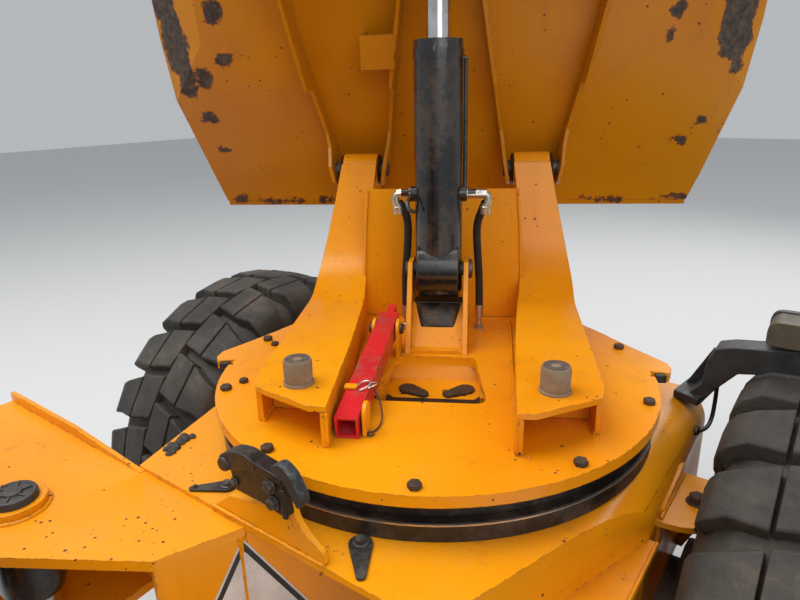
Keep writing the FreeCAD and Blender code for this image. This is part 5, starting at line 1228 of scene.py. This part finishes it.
def towerForm(side):
    # cover: four corners at each path point, offset by the sheet along the path's normal; plates hang below its edges
    sheet = 0.012
    s = np.linspace(0, 1, len(towerPath))
    x0, x1 = np.interp(s, towerEdges[:, 0], towerEdges[:, 1]), np.interp(s, towerEdges[:, 0], towerEdges[:, 2])
    for k in range(3):
        x0[1:-1] = (x0[:-2] + 2 * x0[1:-1] + x0[2:]) / 4
        x1[4:-1] = (x1[3:-2] + 2 * x1[4:-1] + x1[5:]) / 4
    go = np.gradient(towerPath, axis=0)
    go /= np.linalg.norm(go, axis=1)[:, None]
    under = towerPath + np.c_[go[:, 1], -go[:, 0]] * sheet
    parts = [ringSkin([np.array([(a, p[0], p[1]), (b, p[0], p[1]), (b, q[0], q[1]), (a, q[0], q[1])])
                       for a, b, p, q in zip(x0, x1, towerPath, under)])]
    back = np.array([(0.500, 1.0345), (0.505, 1.060), (0.5845, 1.392), (0.5845, 1.420)])
    corner = s[np.argmax(towerPath[:, 0] > 0.26)]
    low = []
    for t, p in zip(s, towerPath):
        if t < corner:
            low.append((p[0], 1.0345))
        else:
            w = (t - corner) / (1 - corner)
            reach = np.r_[0, 0.45, 0.5, 0.97, 1.0]
            line = np.vstack([(0.26, 1.0345), back])
            low.append((np.interp(w, reach, line[:, 0]), np.interp(w, reach, line[:, 1])))
    low = np.array(low)
    inner = [np.array([(a, p[0], p[1]), (a + sheet, p[0], p[1]), (a + sheet, q[0], q[1]), (a, q[0], q[1])])
             for a, p, q in zip(x0 + 0.0004, under, low)]
    parts.append(ringSkin(inner))
    high = [np.array([(b - sheet, p[0], p[1]), (b, p[0], p[1]), (b, q[0], q[1]), (b - sheet, q[0], q[1])])
            for b, p, q, t in zip(x1 - 0.0004, under, low, s) if t > 0.66]
    parts.append(ringSkin(high))
    parts.append(blockForm((0.308, -0.270, 1.0345), (0.320, 0.330, 1.105)))
    parts.append(blockForm((0.170, -0.215, 1.0345), (0.312, -0.205, 1.105)))
    parts.append(ringSkin([np.array([(0.212, 0.488, 1.036), (0.346, 0.488, 1.036), (0.346, 0.500, 1.036),
                                     (0.212, 0.500, 1.036)]),
                           np.array([(0.196, 0.570, 1.398), (0.296, 0.570, 1.398), (0.296, 0.582, 1.398),
                                     (0.196, 0.582, 1.398)])]))
    eye = turnedForm((0.1925, layout["hingeY"], layout["hingeZ"]), (1, 0, 0),
                     [(0, 0.044), (0.002, 0.046), (0.0965, 0.046),
                                                                                (0.0985, 0.044)], 32)
    parts.append(eye)
    v, f = joined(parts)
    return onSwivel(v * (side, 1, 1)), f


for side, node in ((1, "tower_right"), (-1, "tower_left")):
    v, f = towerForm(side)
    piece(node + "Bent", (v, f), "paint", "swivel", 0.0022, 34.0, (node,))
sockets = []
for x in (0.186, -0.300):
    start = onSwivel((x, layout["hingeY"], layout["hingeZ"]))
    sockets.append(turnedForm(start, onSwivel((x + 1, layout["hingeY"], layout["hingeZ"])) - start,
                              [(0, 0.040), (0.004, 0.043), (0.008, 0.036), (0.108, 0.036), (0.112, 0.043),
                               (0.114, 0.040)], 28))
piece("hingeGrease", joined(sockets), "greaseDark", "swivel", 0.001, 40.0)

# ---- flat plate along the skip's pour lip
edge = blockForm((-0.712, 0.1255, 0.1040), (0.712, 0.1500, 0.1170))
piece("skipLipEdge", moved(edge, onSkip), "skip", "skip", 0.002)
print("front parts made")

# ---- seat: cushion and backrest swollen by cloth pressure, with pressed channels
seatSet = {"cushion": ((-0.236, -1.926, 1.1604), (0.236, -1.504, 1.2540)),
           "back": ((-0.221, -0.006, 0.0), (0.221, 0.070, 0.372)),
           "voxel": 0.006, "pressure": 4.0, "cap": 0.010, "frames": 20, "backLean": math.radians(8.2)}


def padForm(lo, hi, crown, power=5.0, count=40):
    # closed rounded pad: a cube's grid pushed onto a power sphere, with the top raised towards its middle
    bm = bmesh.new()
    bmesh.ops.create_cube(bm, size=2.0)
    bmesh.ops.subdivide_edges(bm, edges=bm.edges, cuts=count // 2, use_grid_fill=True)
    me = bpy.data.meshes.new("pad")
    bm.to_mesh(me)
    bm.free()
    q = np.empty(len(me.vertices) * 3)
    me.vertices.foreach_get("co", q)
    q = q.reshape(-1, 3)
    q = q / (np.abs(q) ** power).sum(1)[:, None] ** (1 / power)
    lo, hi = np.array(lo, float), np.array(hi, float)
    x, y, z = q.T
    pinch = 1 - 0.022 * (np.cos(x * math.pi / 2) ** 2 * (np.abs(y) > 0.8) + np.cos(y * math.pi / 2) ** 2 * (np.abs(x) > 0.8))
    p = np.c_[x * pinch, y * pinch, z]
    p = (lo + hi) / 2 + p * (hi - lo) / 2
    k = crown
    p[:, k[0]] += k[1] * np.cos(q[:, k[2]] * math.pi / 2) * np.cos(q[:, k[3]] * math.pi / 2) * (q[:,
                                                                                                  k[0]] * np.sign(k[1]) > 0)
    me.vertices.foreach_set("co", p.ravel())
    me.update()
    return me


def swollen(name, me):
    # voxel remesh, then cloth under pressure for some frames, each point's move held below the cap
    obj = bpy.data.objects.new(name + "Cloth", me)
    bpy.context.scene.collection.objects.link(obj)
    remesh = obj.modifiers.new("voxels", "REMESH")
    remesh.mode = "VOXEL"
    remesh.voxel_size = seatSet["voxel"]
    graph = bpy.context.evaluated_depsgraph_get()
    fine = bpy.data.meshes.new_from_object(obj.evaluated_get(graph))
    obj.modifiers.clear()
    obj.data = fine
    before = np.empty(len(fine.vertices) * 3)
    fine.vertices.foreach_get("co", before)
    cloth = obj.modifiers.new("cloth", "CLOTH")
    cloth.settings.use_pressure = True
    cloth.settings.uniform_pressure_force = seatSet["pressure"]
    cloth.settings.effector_weights.gravity = 0.0
    for k in range(1, seatSet["frames"] + 1):
        bpy.context.scene.frame_set(k)
    graph = bpy.context.evaluated_depsgraph_get()
    puffed = bpy.data.meshes.new_from_object(obj.evaluated_get(graph))
    after = np.empty(len(puffed.vertices) * 3)
    puffed.vertices.foreach_get("co", after)
    obj.modifiers.clear()
    move = (after - before).reshape(-1, 3)
    size = np.linalg.norm(move, axis=1)[:, None]
    move *= np.minimum(1.0, seatSet["cap"] / np.maximum(size, 1e-9))
    fine.vertices.foreach_set("co", (before.reshape(-1, 3) + move).ravel())
    bpy.context.scene.frame_set(1)
    bpy.data.objects.remove(obj)
    fine.name = name
    return fine


def onSeatBack(p):
    # backrest frame: foot of the backrest, leaning back
    a = seatSet["backLean"]
    p = np.asarray(p, float)
    y = -1.8995 + p[:, 1] * math.cos(a) - p[:, 2] * math.sin(a)
    z = 1.2640 + p[:, 1] * math.sin(a) + p[:, 2] * math.cos(a)
    return onMachine(np.c_[p[:, 0], y, z])


seatParts = {"seat_cushion": (padForm(*seatSet["cushion"], (2, 0.012, 0, 1)), onMachine),
             "seat_backrest": (padForm(*seatSet["back"], (1, 0.014, 0, 2)), onSeatBack)}
for node, (me, place) in seatParts.items():
    me = swollen(node + "Pad", me)
    p = np.empty(len(me.vertices) * 3)
    me.vertices.foreach_get("co", p)
    p = p.reshape(-1, 3)
    if node == "seat_cushion":
        # sewn channels across the seat: narrow grooves pressed into the top
        for x in (-0.085, 0.085):
            deep = 0.007 * np.exp(-((p[:, 0] - x) / 0.006) ** 2) * (p[:, 2] > 1.235)
            p[:, 2] -= deep
        p[:, 2] = np.clip(p[:, 2], 1.1604, None)
    else:
        for z in (0.12, 0.25):
            deep = 0.007 * np.exp(-((p[:, 2] - z) / 0.006) ** 2) * (p[:, 1] > 0.045)
            p[:, 1] -= deep
    me.vertices.foreach_set("co", place(p).ravel())
    me.materials.clear()
    me.materials.append(surfaces["vinyl"])
    shade(me, 60.0)
    pad = bpy.data.objects.new(node + "Pad", me)
    bpy.context.scene.collection.objects.link(pad)
    sub = pad.modifiers.new("smooth", "SUBSURF")
    sub.levels = sub.render_levels = 1
    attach(pad, "rear_frame")
    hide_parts(node)
print("seat made")

# ---- operator's station: dials, wheel cap, lever knobs, pedal rubbers, tread plate
stationSet = {"panelAt": (0.0, -1.235, 1.190), "panelTilt": 47.0, "wheelTilt": 35.0}


def panelPlace(p):
    # panel frame: sloped face of the console
    p = np.asarray(p, float) @ rotX(math.radians(stationSet["panelTilt"])).T
    return onMachine(p + np.array(stationSet["panelAt"]))


dials = [moved(turnedForm((x, y, 0), (0, 0, 1), [(0, r), (0.006, r), (0.008, r * 0.9), (0.006, r * 0.84),
                                                 (0.006, 0.001)], 28),
               panelPlace) for x, y, r in ((-0.080, 0.020, 0.030), (0.0, 0.025, 0.038), (0.080, 0.020, 0.030),
                                           (-0.110, -0.045, 0.010), (-0.080, -0.045, 0.010), (-0.050, -0.045, 0.010))]
piece("consoleDials", joined(dials), "black", "rear_frame", 0.0006, 34.0)
cap = moved(turnedForm((0, 0, 0), (0, 0, 1), [(0.008, 0.040), (0.016, 0.040), (0.022, 0.032), (0.024, 0.012)], 32),
            lambda p: onMachine(np.asarray(p) @ rotX(math.radians(stationSet["wheelTilt"])).T + (0, -1.330, 1.330)))
piece("wheelCap", cap, "plastic", "rear_frame", 0.001, 40.0)
knobs = []
for x in (0.105, 0.130):
    at = onMachine((x, -1.3235, 1.388))
    knobs.append(turnedForm(at, (0, -0.5, 0.87), [(-0.004, 0.010), (0.006, 0.0165), (0.020, 0.0190), (0.034, 0.0165),
                                                  (0.042, 0.008)], 24))
    boot = onMachine((x, -1.2150, 1.2030))
    knobs.append(turnedForm(boot, (0, -0.5, 0.87), [(0.0, 0.0125), (0.012, 0.0085), (0.018, 0.0110), (0.026, 0.0078),
                                                    (0.032, 0.0098), (0.040, 0.0074)], 20))
piece("leverKnobs", joined(knobs), "vinyl", "rear_frame", 0.0, 40.0)
rubbers = []
for x in (-0.125, 0.040):
    rubbers.append(blockForm((x - 0.002, -1.402, 0.8815), (x + 0.072, -1.323, 0.886)))
    for k in range(6):
        rubbers.append(blockForm((x + 0.004, -1.396 + k * 0.012, 0.8855), (x + 0.066, -1.390 + k * 0.012, 0.889)))
piece("pedalRubbers", joined(rubbers, onMachine), "vinyl", "rear_frame", 0.0006, 34.0)
# raised lozenges of the tread plate, in rows turned alternately
lozenges = []
for i in range(24):
    for k in range(17):
        x, y = -0.405 + i * 0.035, -1.485 + k * 0.0255
        if y > -1.058 or x > 0.425 or (abs(x) < 0.175 and -1.345 < y < -1.095) or x < -0.20 - 1.14 * (-y - 1.05):
            continue
        t = math.pi / 4 * (1 if (i + k) % 2 else -1)
        ax = np.array([math.cos(t), math.sin(t)])
        ay = np.array([-ax[1], ax[0]])
        base = [np.array([x, y]) + ax * 0.010, np.array([x, y]) + ay * 0.0035, np.array([x, y]) - ax * 0.010,
                np.array([x, y]) - ay * 0.0035]
        v = np.array([(*q, 0.8296) for q in base] + [(*(np.array([x, y]) + (q - [x, y]) * 0.55), 0.8318) for q in base])
        lozenges.append((onMachine(v), [(3, 2, 1, 0), (4, 5, 6, 7), (0, 1, 5, 4), (1, 2, 6, 5), (2, 3, 7, 6),
                                        (3, 0, 4, 7)]))
piece("treadPlate", joined(lozenges), "paint", "rear_frame", 0.0, 60.0)
print("station made", len(lozenges))

# ---- bonnet: louvre blades, lid handle, side latches; grille mesh
blades = []
for i in range(6):
    y = -2.890 + 0.190 + i * 0.062
    for side in (1, -1):
        x = side * 0.4085
        v = np.array([(x, y - 0.002, 1.058), (x, y - 0.002, 1.242), (x + side * 0.014, y + 0.024, 1.242),
                      (x + side * 0.014, y + 0.024, 1.058),
                      (x - side * 0.003, y, 1.058), (x - side * 0.003, y, 1.242), (x + side * 0.011, y + 0.026, 1.242),
                      (x + side * 0.011, y + 0.026, 1.058)])
        blades.append((onMachine(v), [(3, 2, 1, 0), (4, 5, 6, 7), (0, 1, 5, 4), (1, 2, 6, 5), (2, 3, 7, 6),
                                      (3, 0, 4, 7)]))
piece("louvreBlades", joined(blades), "paint", "bonnet", 0.0008, 34.0)
handle = [tubeForm(smoothLine([onMachine(q) for q in ((-0.070, -2.846, 1.330), (-0.070, -2.880, 1.345),
                                                      (0.070, -2.880, 1.345),
                                                      (0.070, -2.846, 1.330))], 30), 0.007, 12)]
for side in (1, -1):
    handle.append(moved(blockForm((min(side * 0.414, side * 0.424), -2.180, 0.935),
                                  (max(side * 0.414, side * 0.424), -2.150, 1.005)), onMachine))
    handle.append(turnedForm(onMachine((side * 0.423, -2.165, 0.985)), (side, 0, 0),
                             [(0, 0.012), (0.008, 0.012), (0.010, 0.009)], 18))
piece("bonnetHandles", joined(handle), "black", "bonnet", 0.001, 34.0)
wires = []
for k in range(33):
    x = -0.248 + k * 0.0155
    wires.append(blockForm((x, -2.8925, 0.932), (x + 0.0022, -2.8903, 1.136)))
piece("grilleMesh", joined(wires, onMachine), "black", "bonnet", 0.0, 34.0)

# ---- rear frame fittings: roll frame bolts, tank cap, straps of the tank and the battery box
heads, straps = [], []
for side in (1, -1):
    for y in (-2.088, -2.022):
        for z in (0.690, 0.760):
            heads.append(boltForm(onMachine((side * 0.490, y, z)), (side, 0, 0), 0.013, 1.3, 0.7, phase=y))
piece("frameBolts", joined(heads), "steel", "rear_frame", 0.0008, 34.0)
capForm = [turnedForm(onMachine((0.360, -1.200, 0.8295)), (0, 0, 1),
                      [(0, 0.040), (0.010, 0.040), (0.010, 0.046), (0.030, 0.046),
                                                                       (0.034, 0.040)], 28)]
for y in (-1.180, -1.390):
    straps.append(blockForm((0.2565, y - 0.018, 0.4775), (0.4425, y + 0.018, 0.4805)))
    straps.append(blockForm((0.4395, y - 0.018, 0.4775), (0.4425, y + 0.018, 0.8200)))
    straps.append(blockForm((-0.4425, y - 0.012, 0.478), (-0.4395, y + 0.012, 0.642)))
    straps.append(blockForm((-0.4425, y - 0.012, 0.6395), (-0.2565, y + 0.012, 0.6425)))
straps.append(blockForm((-0.444, -1.484, 0.612), (-0.256, -1.086, 0.620)))
piece("tankStraps", joined(straps, onMachine), "grease", "rear_frame", 0.0008, 34.0)
piece("tankCap", joined(capForm), "black", "rear_frame", 0.0015, 34.0)
print("rear parts made")


# ---- floor and light
stageSet = {"size": 24.0, "floor": (0.66, 0.66, 0.655), "world": 0.50, "sky": (0.92, 0.96, 1.0)}
s = stageSet["size"]
me = bpy.data.meshes.new("floorPlane")
me.from_pydata([(-s, -s, 0), (s, -s, 0), (s, s, 0), (-s, s, 0)], [], [(0, 1, 2, 3)])
floor = bpy.data.objects.new("floorPlane", me)
bpy.context.scene.collection.objects.link(floor)
mat, tree, bsdf, where = surface("floorPale")
bsdf.inputs["Base Color"].default_value = (*stageSet["floor"], 1.0)
bsdf.inputs["Roughness"].default_value = 0.9
me.materials.append(mat)
world = bpy.data.worlds.new("studio")
bpy.context.scene.world = world
world.use_nodes = True
sky = world.node_tree.nodes["Background"]
sky.inputs["Color"].default_value = (*stageSet["sky"], 1.0)
sky.inputs["Strength"].default_value = stageSet["world"]
# lamps: place, aim, size, watts
lamps = {"key": ((-2.2, -0.6, 7.0), (0.1, 0.6, 0.9), 5.0, 375.0),
         "fill": ((4.5, -3.0, 4.5), (0.0, 0.6, 0.9), 5.0, 160.0),
         "back": ((1.0, 6.5, 5.0), (0.0, 0.5, 1.2), 4.5, 150.0)}
for name, (at, aim, size, watts) in lamps.items():
    data = bpy.data.lights.new(name, "AREA")
    data.size = size
    data.energy = watts
    lamp = bpy.data.objects.new(name, data)
    bpy.context.scene.collection.objects.link(lamp)
    z = np.array(at, float) - np.array(aim, float)
    z, x, y = frameFor(z)
    turn = np.eye(4)
    turn[:3, 0], turn[:3, 1], turn[:3, 2], turn[:3, 3] = x, y, z, at
    lamp.matrix_world = Matrix(turn.tolist())
bpy.context.scene.view_settings.view_transform = "Standard"
print("stage set")
